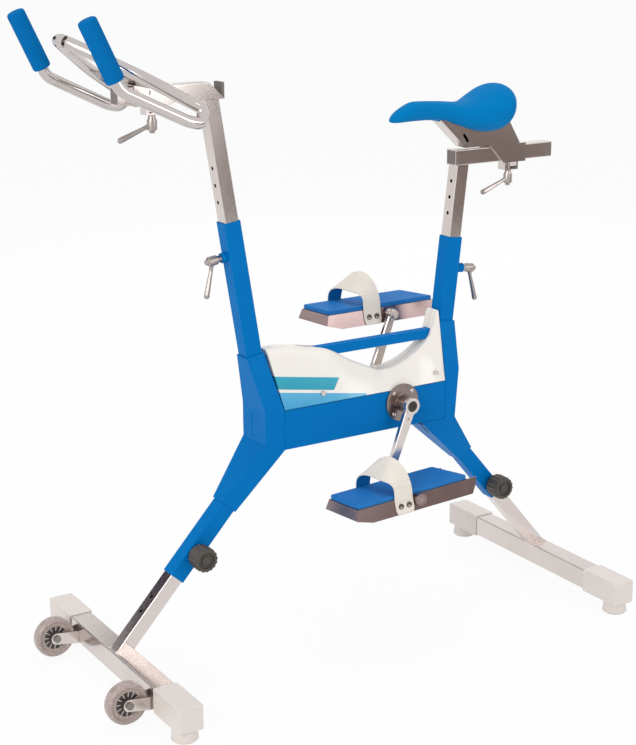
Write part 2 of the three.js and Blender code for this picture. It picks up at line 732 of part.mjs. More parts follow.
function addCrank() {
  const shaft = hub.collarOut - crank.capDish;
  const axleOut = armOuter - crank.recessDepth - RUNNING_GAP;
  const shoulder = hub.hubInner - RUNNING_GAP;
  const axle = turned(
    [
      [0, -axleOut],
      [hub.axleRadius, -axleOut],
      [hub.axleRadius, -shoulder],
      [crank.shoulderRadius, -shoulder],
      [crank.shoulderRadius, shoulder],
      [hub.axleRadius, shoulder],
      [hub.axleRadius, axleOut],
      [0, axleOut],
    ],
    "y",
    16,
  );
  addPiece(crankFrame, "crank_axle", axle, steel);
  SIDES.forEach(([name, side]) => {
    const throwFrame = new THREE.Group();
    throwFrame.rotation.y = CRANK_ANGLE + (side < 0 ? 0 : Math.PI);
    crankFrame.add(throwFrame);
    const reach = [0, shaft + BEAM_WIDTH];
    const bore = bar(hub.axleRadius + RUNNING_GAP, ...spanY(side, ...reach), "y", 16);
    const recess = bar(crank.recessRadius, ...spanY(side, armOuter - crank.recessDepth, reach[1]), "y", 20);
    const eyeHole = barGeometry(spindle.threadRadius + RUNNING_GAP, ...spanY(side, ...reach), "y", 14);
    const face = crank.armInner + crank.armThickness;
    const dimple = barGeometry(crank.holeRadius, ...spanY(side, face - crank.holeDepth, reach[1]), "y", 10);
    const cutters = [
      bore,
      recess,
      solid(eyeHole.translate(0, 0, -CRANK_LENGTH)),
      solid(dimple.translate(0, 0, -crank.holeDrop)),
    ];
    addPiece(throwFrame, "crank_arm_" + name, without(armShape(side), cutters), steel);
    addCrankCap(throwFrame, name, side);
    addSpindle(throwFrame, name, side);
  });
}

function addCrankCap(parent, name, side) {
  const floor = armOuter - crank.recessDepth + RUNNING_GAP;
  const rim = crank.recessRadius - RUNNING_GAP;
  const profile = [
    [0, floor],
    [rim, floor],
    [rim, floor + crank.capThickness],
    [rim / 2, floor + crank.capThickness],
    [rim / 2, floor + crank.capThickness - crank.capDish],
    [0, floor + crank.capThickness - crank.capDish],
  ];
  addPiece(parent, "crank_cap_" + name, turned(profile.map(([r, y]) => [r, side * y]), "y"), capBlack);
}

function addSpindle(parent, name, side) {
  const inner = crank.armInner - RUNNING_GAP;
  const outer = crank.armInner + crank.armThickness + RUNNING_GAP;
  const profile = [
    [0, inner - spindle.nutHeight],
    [spindle.nutRadius, inner - spindle.nutHeight],
    [spindle.nutRadius, inner],
    [spindle.threadRadius, inner],
    [spindle.threadRadius, outer],
    [spindle.collarRadius, outer],
    [spindle.collarRadius, outer + spindle.collarWidth],
    [spindle.radius, outer + spindle.collarWidth],
    [spindle.radius, PEDAL_CENTRE_Y + pedal.bossOut - pedal.bossCap - RUNNING_GAP],
    [0, PEDAL_CENTRE_Y + pedal.bossOut - pedal.bossCap - RUNNING_GAP],
  ];
  const piece = addPiece(parent, "pedal_spindle_" + name, turned(profile.map(([r, y]) => [r, side * y]), "y", 14), steel);
  piece.position.z = -CRANK_LENGTH;
}

// Water-paddle pedals: folded steel tray, foam pad and instep strap. X and Z from the spindle axis.
const pedal = {
  padTop: 19,
  padThickness: 9,
  padHalf: 41.5,
  frontNear: 141,
  frontFar: 153,
  cornerCut: 3,
  rearNear: 123,
  rearFar: 97,
  padRound: 2,
  plateThickness: 2,
  rim: 1.6,
  wallDepth: 31,
  wallFlare: 8,
  wallThickness: 2,
  rearOverhang: 18,
  rearPoint: 10,
  flapDepth: 21,
  flapLean: 6,
  frontCut: 30,
  tubeRadius: 9.4,
  bossOut: 56,
  bossCap: 3,
};

// Plan outline of the pedal, grown by a margin: points [x, y] from the front on the left side
function pedalOutline(margin, rearExtra) {
  const { frontNear, frontFar, padHalf, cornerCut, rearNear, rearFar } = pedal;
  return [
    [-frontNear - margin, -padHalf + cornerCut - margin / 2],
    [-frontNear + cornerCut - margin / 2, -padHalf - margin],
    [rearNear + margin + rearExtra, -padHalf - margin],
    [rearFar + margin + rearExtra, padHalf + margin],
    [-frontFar + cornerCut - margin / 2, padHalf + margin],
    [-frontFar - margin, padHalf - cornerCut + margin / 2],
  ];
}

function platform(outline, low, high, round) {
  const shape = new THREE.Shape(outline.map(([x, y]) => new THREE.Vector2(x, y)));
  const bevel = round
    ? { bevelThickness: round, bevelSize: round, bevelOffset: -round, bevelSegments: 2 }
    : { bevelEnabled: false };
  const slab = new THREE.ExtrudeGeometry(shape, { depth: high - low - 2 * round, ...bevel });
  return slab.translate(0, 0, low + round);
}

// A folded side wall: it flares outward below the plate, meets the front flap, and deepens behind it
function trayWall(side) {
  const { rearNear, rearFar, rearOverhang, rearPoint, wallDepth, wallFlare } = pedal;
  const top = pedal.padTop - pedal.padThickness - RUNNING_GAP;
  const edge = pedal.padHalf + pedal.rim;
  const front = -(side < 0 ? pedal.frontNear : pedal.frontFar) - pedal.rim;
  const rear = (side < 0 ? rearNear : rearFar) + rearOverhang;
  const row = (x, drop) => {
    const y = edge - pedal.wallThickness + (wallFlare * drop) / wallDepth;
    return [point(x, side * y, top - drop), point(x, side * (y + pedal.wallThickness), top - drop)];
  };
  const station = (x, drop, lean = 0) => {
    const [[innerTop, outerTop], [innerLow, outerLow]] = [row(x, 0), row(x - lean, drop)];
    return [innerTop, outerTop, outerLow, innerLow];
  };
  const stations = [
    station(front, pedal.flapDepth, pedal.flapLean),
    station(front + pedal.frontCut, wallDepth),
    station(rear - rearPoint, wallDepth),
    station(rear, wallDepth / 2),
    station(rear + rearPoint / 2, pedal.plateThickness),
  ];
  return loft(stations);
}

// The folded front flap, from wall to wall along the slanted front edge
function trayFlap() {
  const top = pedal.padTop - pedal.padThickness - RUNNING_GAP;
  const half = pedal.padHalf + pedal.rim - pedal.wallThickness / 2;
  const row = (drop, thickness) => {
    const back = thickness - pedal.rim - (pedal.flapLean * drop) / pedal.flapDepth;
    const reach = half + (pedal.wallFlare * drop) / pedal.wallDepth;
    return [point(back - pedal.frontNear, -reach, top - drop), point(back - pedal.frontFar, reach, top - drop)];
  };
  const [upper, lower] = [row(0, 0), row(pedal.flapDepth, 0)];
  const [upperBack, lowerBack] = [row(0, pedal.wallThickness), row(pedal.flapDepth, pedal.wallThickness)];
  return loft([
    [upper[0], upperBack[0], upperBack[1], upper[1]],
    [lower[0], lowerBack[0], lowerBack[1], lower[1]],
  ]);
}

function trayShape(side) {
  const top = pedal.padTop - pedal.padThickness - RUNNING_GAP;
  const plate = solid(platform(pedalOutline(pedal.rim, 0), top - pedal.plateThickness, top, 0));
  const tube = bar(pedal.tubeRadius, -pedal.bossOut, pedal.bossOut, "y", 16);
  const outside = side * (pedal.bossOut - pedal.bossCap);
  const inside = -side * (pedal.bossOut + CUT_OVERRUN);
  const bore = bar(spindle.bore, Math.min(inside, outside), Math.max(inside, outside), "y", 14);
  const walls = SIDES.map(([, wallSide]) => trayWall(wallSide));
  return joined([plate, trayFlap(), ...walls, tube]).subtract(bore);
}

// Instep strap: a band from wall to wall, skewed forward on the right, nearly square in front and
// round behind
const strap = {
  thickness: 2.6,
  leftFront: 57,
  leftRear: 14,
  rightFront: 89,
  rightRear: 56,
  frontHeight: 46.5,
  rearHeight: 83,
  frontRoundShare: 0.4,
  rearRoundShare: 1,
  footDrop: 22,
  springHeight: 8,
  slotRise: 8,
  slotShare: 0.3,
  slotLength: 12,
  slotWidth: 3.2,
  archSteps: 16,
};

function strapSection(angle, drop) {
  const across = (1 - Math.cos(angle)) / 2;
  const frontX = -THREE.MathUtils.lerp(strap.leftFront, strap.rightFront, across);
  const rearX = -THREE.MathUtils.lerp(strap.leftRear, strap.rightRear, across);
  const below = pedal.padTop - pedal.padThickness - RUNNING_GAP - strap.springHeight + drop;
  const flare = (pedal.wallFlare * below) / pedal.wallDepth;
  const span = pedal.padHalf + pedal.rim + RUNNING_GAP + flare;
  const edge = (x, peak, round, thickness) => {
    const [out, up] = [Math.cos(angle), Math.max(Math.sin(angle), 0)];
    const y = -(span + thickness) * Math.sign(out) * Math.abs(out) ** round;
    return point(x, y, strap.springHeight + (peak - strap.springHeight + thickness) * up ** round - drop);
  };
  const { frontHeight, rearHeight, frontRoundShare, rearRoundShare, thickness } = strap;
  return [
    edge(frontX, frontHeight, frontRoundShare, 0),
    edge(rearX, rearHeight, rearRoundShare, 0),
    edge(rearX, rearHeight, rearRoundShare, thickness),
    edge(frontX, frontHeight, frontRoundShare, thickness),
  ];
}

function strapShape() {
  const foot = strap.footDrop + strap.springHeight;
  const angles = Array.from({ length: strap.archSteps + 1 }, (_, k) => (k / strap.archSteps) * Math.PI);
  const arch = angles.map((angle) => strapSection(angle, 0));
  const band = loft([strapSection(0, foot), ...arch, strapSection(Math.PI, foot)]);
  const footY = pedal.padHalf + pedal.rim + pedal.wallFlare;
  const slotZ = strap.springHeight - foot + strap.slotRise;
  const slots = SIDES.flatMap(([, side]) => {
    const [front, rear] = side < 0 ? [strap.leftFront, strap.leftRear] : [strap.rightFront, strap.rightRear];
    return [strap.slotShare, 1 - strap.slotShare].map((share) => {
      const x = -THREE.MathUtils.lerp(front, rear, share);
      const slot = boxGeometry(
        point(-strap.slotWidth / 2, -pedal.wallFlare - strap.thickness, -strap.slotLength / 2),
        point(strap.slotWidth / 2, pedal.wallFlare + strap.thickness, strap.slotLength / 2),
      );
      return solid(slot.translate(x, side * footY, slotZ));
    });
  });
  return without(band, slots);
}

function addPedals() {
  SIDES.forEach(([name, side]) => {
    const angle = CRANK_ANGLE + (side < 0 ? 0 : Math.PI);
    const frame = new THREE.Group();
    frame.position.set(
      CRANK_X - CRANK_LENGTH * Math.sin(angle),
      side * PEDAL_CENTRE_Y,
      CRANK_Z - CRANK_LENGTH * Math.cos(angle),
    );
    frame.rotation.y = side < 0 ? -LEFT_PEDAL_PITCH : -RIGHT_PEDAL_PITCH;
    bike.add(frame);
    addPiece(frame, "pedal_tray_" + name, trayShape(side), steel);
    const low = pedal.padTop - pedal.padThickness;
    const pad = solid(platform(pedalOutline(0, 0), low, pedal.padTop, pedal.padRound));
    addPiece(frame, "pedal_pad_" + name, pad, padBlue);
    addPiece(frame, "pedal_strap_" + name, strapShape(), strapCream);
  });
}

// Cuts made in the axes of the whole bike, brought into a tube's own frame
const inFrame = (frame, geometry) => solid(geometry.clone().applyMatrix4(frame.matrix.clone().invert()));

const postHoles = { radius: 4, pitch: 33, frontFirst: 40, frontCount: 3, rearFirst: 48, rearCount: 3 };

// Stainless posts that slide in the sleeves, cut level under their rails
function postShape(frame, insertion, railBottom, mouthZ, first, count, faceSign) {
  const top = (railBottom - mouthZ) / Math.cos(frame.rotation.y);
  const tube = squareTube(INNER_SIDE, INNER_WALL, INNER_CORNER, -insertion, top + RAIL_SIDE / 2);
  const ceiling = boxGeometry(
    point(frame.position.x - BEAM_HEIGHT * 2, -RAIL_SIDE, railBottom - RUNNING_GAP),
    point(frame.position.x + BEAM_HEIGHT * 2, RAIL_SIDE, railBottom + RAIL_SIDE * 2),
  );
  const holes = Array.from({ length: count }, (_, k) => {
    const [low, high] = spanY(faceSign, 0, INNER_SIDE);
    return solid(barGeometry(postHoles.radius, low, high, "x", 8).translate(0, 0, first + k * postHoles.pitch));
  });
  return without(tube, [inFrame(frame, ceiling), ...holes]);
}

function addPosts() {
  const { frontFirst, frontCount, rearFirst, rearCount } = postHoles;
  const front = [frontPost, FRONT_INSERTION, BAR_RAIL_BOTTOM, FRONT_MOUTH_Z, frontFirst, frontCount, -1];
  const rear = [rearPost, REAR_INSERTION, SADDLE_RAIL_BOTTOM, REAR_MOUTH_Z, rearFirst, rearCount, -1];
  addPiece(frontPost, "front_post_tube", postShape(...front), steel);
  addPiece(rearPost, "rear_post_tube", postShape(...rear), steel);
}

// Rails: the handlebar rail has a slanted, closed rear end, the saddle rail is open at both ends
function addRails() {
  const middle = BAR_RAIL_BOTTOM + RAIL_SIDE / 2;
  const outside = moved(squareTubeGeometry(RAIL_SIDE, 0, RAIL_CORNER, BAR_RAIL_FRONT, BAR_RAIL_REAR), alongX(middle));
  const slant = (inset) =>
    loft([-RAIL_SIDE, RAIL_SIDE].map((y) => [
      point(BAR_RAIL_REAR - inset + CUT_OVERRUN, y, BAR_RAIL_BOTTOM - CUT_OVERRUN),
      point(BAR_RAIL_REAR - inset + RAIL_SIDE * 3, y, BAR_RAIL_BOTTOM - CUT_OVERRUN),
      point(BAR_RAIL_REAR - inset + RAIL_SIDE * 3, y, BAR_RAIL_BOTTOM + RAIL_SIDE + CUT_OVERRUN),
      point(BAR_RAIL_REAR - inset - RAIL_SIDE - CUT_OVERRUN, y, BAR_RAIL_BOTTOM + RAIL_SIDE + CUT_OVERRUN),
    ]));
  const bore = moved(
    squareTubeGeometry(RAIL_SIDE - 2 * RAIL_WALL, 0, RAIL_CORNER / 2, BAR_RAIL_FRONT - CUT_OVERRUN, BAR_RAIL_REAR),
    alongX(middle),
  ).subtract(slant(RAIL_WALL * 2));
  addPiece(bike, "handlebar_rail", without(outside, [slant(0), bore]), steel);
  const saddleRail = moved(
    squareTubeGeometry(RAIL_SIDE, RAIL_WALL, RAIL_CORNER, SADDLE_RAIL_FRONT, SADDLE_RAIL_REAR),
    alongX(SADDLE_RAIL_BOTTOM + RAIL_SIDE / 2),
  );
  addPiece(bike, "saddle_rail", saddleRail, steel);
}

// Handlebar: one bent tube, from grip to grip round a narrow front loop.
// Each point is [x, half spread, height over the underside of the rail].
const bars = {
  radius: 11,
  gripTop: [-531, 157, 158.4],
  elbow: [-477, 158, 42.4],
  outerEnd: [-352, 166, -17.6],
  turnLow: [-326, 165, -22.6],
  turnHigh: [-318, 152, 2.4],
  innerStart: [-346, 148, 17],
  innerMiddle: [-408, 120, 54.6],
  loopSide: [-498, 34, 109.2],
  loopFront: [-520, 0, 122.4],
  elbowBend: 15,
  turnBend: 13,
  armBend: 30,
  loopBend: 22,
  steps: 88,
  sides: 10,
  gripRadius: 17,
  gripLength: 114,
  gripCap: 4,
  gripRound: 6,
};

const barPlace = ([x, y, rise], side) => point(x, side * y, BAR_RAIL_BOTTOM + rise);

function handlebarPath() {
  const half = [
    [bars.gripTop, 0],
    [bars.elbow, bars.elbowBend],
    [bars.outerEnd, bars.turnBend],
    [bars.turnLow, bars.turnBend],
    [bars.turnHigh, bars.turnBend],
    [bars.innerStart, bars.turnBend],
    [bars.innerMiddle, bars.armBend],
    [bars.loopSide, bars.loopBend],
    [bars.loopFront, bars.loopBend],
  ];
  const left = half.map(([at, bend]) => [barPlace(at, -1), bend]);
  const right = half.slice(0, -1).reverse().map(([at, bend]) => [barPlace(at, 1), bend]);
  const corners = [...left, ...right];
  const path = new THREE.CurvePath();
  let start = corners[0][0];
  for (let k = 1; k + 1 < corners.length; k++) {
    const [corner, bend] = corners[k];
    const enter = corner.clone().add(corners[k - 1][0].clone().sub(corner).setLength(bend));
    const leave = corner.clone().add(corners[k + 1][0].clone().sub(corner).setLength(bend));
    path.add(new THREE.LineCurve3(start, enter));
    path.add(new THREE.QuadraticBezierCurve3(enter, corner, leave));
    start = leave;
  }
  path.add(new THREE.LineCurve3(start, corners.at(-1)[0]));
  return path;
}

function roundSection(radius, sides) {
  const corners = Array.from({ length: sides }, (_, k) => {
    const angle = (k / sides) * 2 * Math.PI;
    return new THREE.Vector2(radius * Math.cos(angle), radius * Math.sin(angle));
  });
  return new THREE.Shape(corners);
}
const handlebarSweep = (radius) =>
  solid(new THREE.ExtrudeGeometry(roundSection(radius, bars.sides), { steps: bars.steps, extrudePath: handlebarPath() }));

function addHandlebar() {
  addPiece(bike, "handlebar_tube", handlebarSweep(bars.radius), steel);
  SIDES.forEach(([name, side]) => {
    const top = barPlace(bars.gripTop, side);
    const axis = top.clone().sub(barPlace(bars.elbow, side)).normalize();
    const bore = bars.radius + RUNNING_GAP;
    const { gripRadius, gripLength, gripCap, gripRound } = bars;
    const grip = turned(
      [
        [0, gripCap],
        [gripRadius - gripRound, gripCap],
        [gripRadius - gripRound / 4, gripCap - gripRound / 3],
        [gripRadius, gripCap - gripRound],
        [gripRadius, gripCap - gripLength + gripRound],
        [gripRadius - gripRound / 3, gripCap - gripLength],
        [bore, gripCap - gripLength],
        [bore, RUNNING_GAP],
        [0, RUNNING_GAP],
      ],
      "z",
      16,
    );
    const piece = addPiece(bike, "grip_" + name, grip, foamBlue);
    piece.position.copy(top);
    piece.quaternion.setFromUnitVectors(point(0, 0, 1), axis);
  });
}

// Sliders: sheet channels round the rails, each with a nut bracket for its clamp screw below
const slider = {
  wall: 3,
  barFront: -385,
  barRear: -310,
  slotX: -361.5,
  slotLength: 17,
  slotHeight: 7,
  slotRise: 20.9,
  saddleFrontTop: 419,
  saddleFrontLow: 454,
  saddleRear: 512,
  hookRadius: 3.2,
  bracketLength: 34,
  bracketWidth: 24,
  bracketHeight: 17,
  bracketWall: 3,
  barClampX: -343,
  saddleClampX: 481,
};
const cradle = { thickness: 4, rear: -375, front: -405 };

function channel(railBottom, frontTop, frontLow, rear) {
  const grow = RUNNING_GAP + slider.wall;
  const half = RAIL_SIDE / 2 + grow;
  const [low, high] = [railBottom - grow, railBottom + RAIL_SIDE + grow];
  const outside = loft([-half, half].map((y) => [
    point(frontLow, y, low),
    point(rear, y, low),
    point(rear, y, high),
    point(frontTop, y, high),
  ]));
  const inside = box(
    point(Math.min(frontLow, frontTop) - CUT_OVERRUN, -RAIL_SIDE / 2 - RUNNING_GAP, railBottom - RUNNING_GAP),
    point(rear + CUT_OVERRUN, RAIL_SIDE / 2 + RUNNING_GAP, railBottom + RAIL_SIDE + RUNNING_GAP),
  );
  return outside.subtract(inside);
}

// The bracket is a short square tube across the rail, drilled for the clamp stud
function nutBracket(railBottom, x) {
  const { bracketLength, bracketWidth, bracketHeight, bracketWall } = slider;
  const top = railBottom - RUNNING_GAP - slider.wall;
  const [halfLength, halfWidth] = [bracketLength / 2, bracketWidth / 2];
  const outer = box(
    point(x - halfLength, -halfWidth, top - bracketHeight),
    point(x + halfLength, halfWidth, top + WELD_OVERLAP),
  );
  const inner = box(
    point(x - halfLength + bracketWall, -halfWidth - CUT_OVERRUN, top - bracketHeight + bracketWall),
    point(x + halfLength - bracketWall, halfWidth + CUT_OVERRUN, top - bracketWall / 2),
  );
  return outer.subtract(inner);
}

function studHole(railBottom, x) {
  const reach = slider.bracketHeight + slider.wall + CUT_OVERRUN;
  return solid(barGeometry(clamp.studRadius + RUNNING_GAP, -reach, 0, "z", 10).translate(x, 0, railBottom));
}

function addBarSlider() {
  const body = channel(BAR_RAIL_BOTTOM, slider.barFront, slider.barFront, slider.barRear);
  const oblong = solid(
    boxGeometry(
      point(-slider.slotLength / 2, -RAIL_SIDE, -slider.slotHeight / 2),
      point(slider.slotLength / 2, 0, slider.slotHeight / 2),
    ).translate(slider.slotX, 0, BAR_RAIL_BOTTOM + slider.slotRise),
  );
  const bracket = nutBracket(BAR_RAIL_BOTTOM, slider.barClampX);
  const plate = cradlePlate().subtract(handlebarSweep(bars.radius + RUNNING_GAP));
  const whole = joined([body, bracket, plate]);
  addPiece(bike, "handlebar_slider", without(whole, [oblong, studHole(BAR_RAIL_BOTTOM, slider.barClampX)]), steel);
}

// Flat plate between the inner arms, in their sloping plane
function cradlePlate() {
  const [startX, startY, startRise] = bars.innerStart;
  const [middleX, middleY, middleRise] = bars.innerMiddle;
  const armAt = (x) => {
    const share = (x - startX) / (middleX - startX);
    const along = (from, to) => THREE.MathUtils.lerp(from, to, share);
    return [along(startY, middleY), BAR_RAIL_BOTTOM + along(startRise, middleRise)];
  };
  const slope = Math.atan2(middleRise - startRise, startX - middleX);
  const normal = point(Math.sin(slope), 0, Math.cos(slope)).multiplyScalar(cradle.thickness / 2);
  const corners = [cradle.front, cradle.rear].map((x) => {
    const [y, z] = armAt(x);
    const lowered = (sign) => point(x, sign * y, z);
    return [lowered(-1), lowered(1)];
  });
  const face = (sign) => corners.flat().map((corner) => corner.clone().addScaledVector(normal, sign));
  const [lower, upper] = [face(-1), face(1)];
  const ring = ([a, b, c, d]) => [a, b, d, c];
  return loft([ring(lower), ring(upper)]);
}

// Saddle: a full, crowned cushion with drawn-in sides, on a bent sheet bracket
const saddle = {
  noseX: 180,
  length: 288,
  rise: 63.4,
  height: 98,
  halfWidth: 80,
  sides: 24,
  bracketWidth: 36,
  bracketWall: 2.5,
  bracketTopFront: 292,
  bracketTopRear: 460,
  bracketLowFront: 357,
  bracketLowRear: 497,
  slotX: 356,
  slotRise: 20,
  slotLength: 20,
  slotWidth: 6,
};
const saddleLow = SADDLE_RAIL_BOTTOM + saddle.rise;
// Sections from nose to tail: shares of length, of height (top, bottom) and of half width
const saddleShares = [
  [0, 0.37, 0.345, 0.06],
  [0.025, 0.48, 0.33, 0.17],
  [0.068, 0.575, 0.325, 0.235],
  [0.12, 0.66, 0.33, 0.27],
  [0.193, 0.735, 0.335, 0.295],
  [0.304, 0.725, 0.335, 0.325],
  [0.436, 0.7, 0.275, 0.39],
  [0.571, 0.665, 0.148, 0.56],
  [0.668, 0.7, 0.06, 0.75],
  [0.732, 0.78, 0.02, 0.87],
  [0.804, 0.885, 0, 0.965],
  [0.857, 0.96, 0.02, 1],
  [0.904, 1, 0.085, 0.92],
  [0.943, 0.985, 0.22, 0.76],
  [0.975, 0.92, 0.4, 0.58],
  [0.996, 0.8, 0.6, 0.3],
];

function saddleShape() {
  const sections = saddleShares.map(([along, topShare, lowShare, widthShare]) => {
    const [top, low] = [topShare, lowShare].map((share) => saddleLow + share * saddle.height);
    const half = widthShare * saddle.halfWidth;
    return Array.from({ length: saddle.sides }, (_, k) => {
      const angle = (k / saddle.sides) * 2 * Math.PI;
      const z = (top + low) / 2 + ((top - low) / 2) * Math.sin(angle);
      return point(saddle.noseX + along * saddle.length, half * Math.cos(angle), z);
    });
  });
  return loft(sections);
}

function addSaddle() {
  const cushion = saddleShape();
  addPiece(bike, "saddle", cushion, saddleBlue);
  addPiece(bike, "saddle_bracket", bracketShape(cushion), steel);
  const { saddleFrontTop, saddleFrontLow, saddleRear, hookRadius } = slider;
  const body = channel(SADDLE_RAIL_BOTTOM, saddleFrontTop, saddleFrontLow, saddleRear);
  const hookZ = SADDLE_RAIL_BOTTOM + RAIL_SIDE + RUNNING_GAP + slider.wall - hookRadius;
  const near = RAIL_SIDE / 2 + RUNNING_GAP;
  const hooks = SIDES.map(([, side]) => {
    const span = spanY(side, near, near + slider.wall + hookRadius / 2);
    return solid(barGeometry(hookRadius, ...span, "y", 10).translate(saddleFrontTop + hookRadius, 0, hookZ));
  });
  const whole = joined([body, ...hooks, nutBracket(SADDLE_RAIL_BOTTOM, slider.saddleClampX)]);
  addPiece(bike, "saddle_slider", whole.subtract(studHole(SADDLE_RAIL_BOTTOM, slider.saddleClampX)), steel);
}

// Open-topped cup of sheet steel between the slider and the underside of the saddle
function bracketShape(cushion) {
  const low = SADDLE_RAIL_BOTTOM + RAIL_SIDE + 2 * RUNNING_GAP + slider.wall;
  const high = saddleLow + saddle.height / 2;
  const spread = (high - low) / (saddleLow + saddle.height / 3 - low);
  const prism = (inset, bottom) => {
    const half = saddle.bracketWidth / 2 - inset;
    const front = saddle.bracketLowFront + (saddle.bracketTopFront - saddle.bracketLowFront) * spread;
    const rear = saddle.bracketLowRear + (saddle.bracketTopRear - saddle.bracketLowRear) * spread;
    return loft([-half, half].map((y) => [
      point(saddle.bracketLowFront + inset, y, bottom),
      point(saddle.bracketLowRear - inset, y, bottom),
      point(rear - inset, y, high),
      point(front + inset, y, high),
    ]));
  };
  const cup = prism(0, low).subtract(prism(saddle.bracketWall, low + saddle.bracketWall));
  const slot = boxGeometry(
    point(-saddle.slotWidth / 2, -saddle.bracketWidth, -saddle.slotLength / 2),
    point(saddle.slotWidth / 2, 0, saddle.slotLength / 2),
  );
  const tilt = new THREE.Matrix4().makeRotationY(-Math.PI / 5);
  tilt.setPosition(saddle.slotX, -saddle.bracketWall, low + saddle.slotRise);
  const seatBelow = cushion.translate([0, 0, -RUNNING_GAP]);
  const above = box(
    point(saddle.noseX, -saddle.bracketWidth, saddleLow + saddle.height / 3),
    point(saddle.noseX + saddle.length * 2, saddle.bracketWidth, high + saddle.height),
  );
  return without(cup, [moved(slot, tilt), seatBelow, seatBelow.translate([0, 0, slider.wall * 3]), above]);
}

// Clamp levers: stud, hub and a tapering arm that hangs to one side
function rod(from, to, fromRadius, toRadius, sides = 7) {
  const length = from.distanceTo(to);
  const geometry = new THREE.CylinderGeometry(toRadius, fromRadius, length, sides);
  geometry.translate(0, length / 2, 0);
  const turn = new THREE.Quaternion().setFromUnitVectors(point(0, 1, 0), to.clone().sub(from).normalize());
  return solid(geometry.applyQuaternion(turn).translate(from.x, from.y, from.z));
}

function leverShape(studFrom, seat, armSign) {
  const { studRadius, hubRadius, neckRadius, hubEnd, hubStart, headRadius, headEnd } = clamp;
  const profile = [
    [0, studFrom],
    [studRadius, studFrom],
    [studRadius, seat + RUNNING_GAP],
    [neckRadius, seat + RUNNING_GAP],
    [neckRadius, seat + hubStart],
    [hubRadius, seat + hubStart + neckRadius / 2],
    [hubRadius, seat + hubEnd - neckRadius / 2],
    [headRadius, seat + hubEnd],
    [headRadius, seat + headEnd],
    [0, seat + headEnd],
  ];
  const middle = seat + (hubStart + hubEnd) / 2;
  const root = point(0, 0, middle);
  const waist = point(armSign * clamp.armRoot, 0, middle + clamp.armRise / 4);
  const end = point(armSign * clamp.armReach, 0, middle + clamp.armRise);
  const ball = new THREE.SphereGeometry(clamp.armEnd * clamp.ballShare, 8, 4).translate(end.x, end.y, end.z);
  return joined([
    turned(profile, "z", 10),
    rod(root, waist, clamp.armStart, clamp.armWaist),
    rod(waist, end, clamp.armWaist, clamp.armEnd),
    solid(ball),
  ]);
}

function addLevers() {
  const studFrom = INNER_SIDE / 2 + RUNNING_GAP;
  const rows = [
    ["front_post_lever", frontPost, towardFront, clamp.bossHeight, -1],
    ["rear_post_lever", rearPost, towardRear, clamp.rearBossHeight, 1],
  ];
  rows.forEach(([name, frame, turn, height, sign]) => {
    const lever = leverShape(studFrom, SLEEVE_SIDE / 2 + height, sign);
    const piece = addPiece(frame, name, lever, steel);
    piece.applyMatrix4(turn);
    piece.position.z = -clamp.drop;
  });
  const seat = RUNNING_GAP + slider.wall + slider.bracketHeight;
  const rails = [
    ["handlebar_lever", slider.barClampX, BAR_RAIL_BOTTOM],
    ["saddle_lever", slider.saddleClampX, SADDLE_RAIL_BOTTOM],
  ];
  rails.forEach(([name, x, z]) => {
    const piece = addPiece(bike, name, leverShape(RUNNING_GAP, seat, -1), steel);
    piece.applyMatrix4(downward);
    piece.position.set(x, 0, z);
  });
}

// Hand knobs on the legs: fluted, with a recessed end
function knobShape() {
  const start = SLEEVE_SIDE / 2 + knob.bossHeight + RUNNING_GAP;
  const outline = Array.from({ length: knob.flutes * 2 }, (_, k) => {
    const radius = knob.radius - (k % 2 ? knob.fluteDepth : 0) - knob.chamfer / 2;
    const angle = (k / (knob.flutes * 2)) * 2 * Math.PI;
    return new THREE.Vector2(radius * Math.cos(angle), radius * Math.sin(angle));
  });
  const bevel = { bevelThickness: knob.chamfer, bevelSize: knob.chamfer / 2, bevelSegments: 1 };
  const depth = knob.length - 2 * knob.chamfer;
  const grip = new THREE.ExtrudeGeometry(new THREE.Shape(outline), { depth, ...bevel });
  const end = start + knob.length;
  const stud = bar(knob.studRadius, INNER_SIDE / 2 + RUNNING_GAP, start + knob.chamfer, "z", 20);
  const recess = bar(knob.recessRadius, end - knob.recessDepth, end + CUT_OVERRUN, "z", 20);
  const button = bar(knob.buttonRadius, end - 2 * knob.recessDepth, end - knob.recessDepth / 2, "z", 16);
  return joined([solid(grip.translate(0, 0, start + knob.chamfer)).subtract(recess), stud, button]);
}

function addKnobs() {
  const rows = [
    ["front_leg_knob", frontLeg, knob.frontAlong],
    ["rear_leg_knob", rearLeg, knob.rearAlong],
  ];
  rows.forEach(([name, frame, along]) => {
    const piece = addPiece(frame, name, knobShape(), knobBlack);
    piece.applyMatrix4(towardLeft);
    piece.position.set(-knob.offset, 0, -along);
  });
}

// Feet: a leg tube that slides in its sleeve, welded on a tube across the bike
const foot = {
  gussetHeight: 56,
  gussetThickness: 3,
  holeRadius: 4,
  holeFirst: 22,
  holePitch: 34,
  capGrip: 99.3,
  capGrow: 3.3,
  capWall: 7,
  capRound: 4,
  discTopRadius: 23,
  discLowRadius: 26,
  discInset: 22,
  discHeight: 25,
  discChamfer: 3,
};

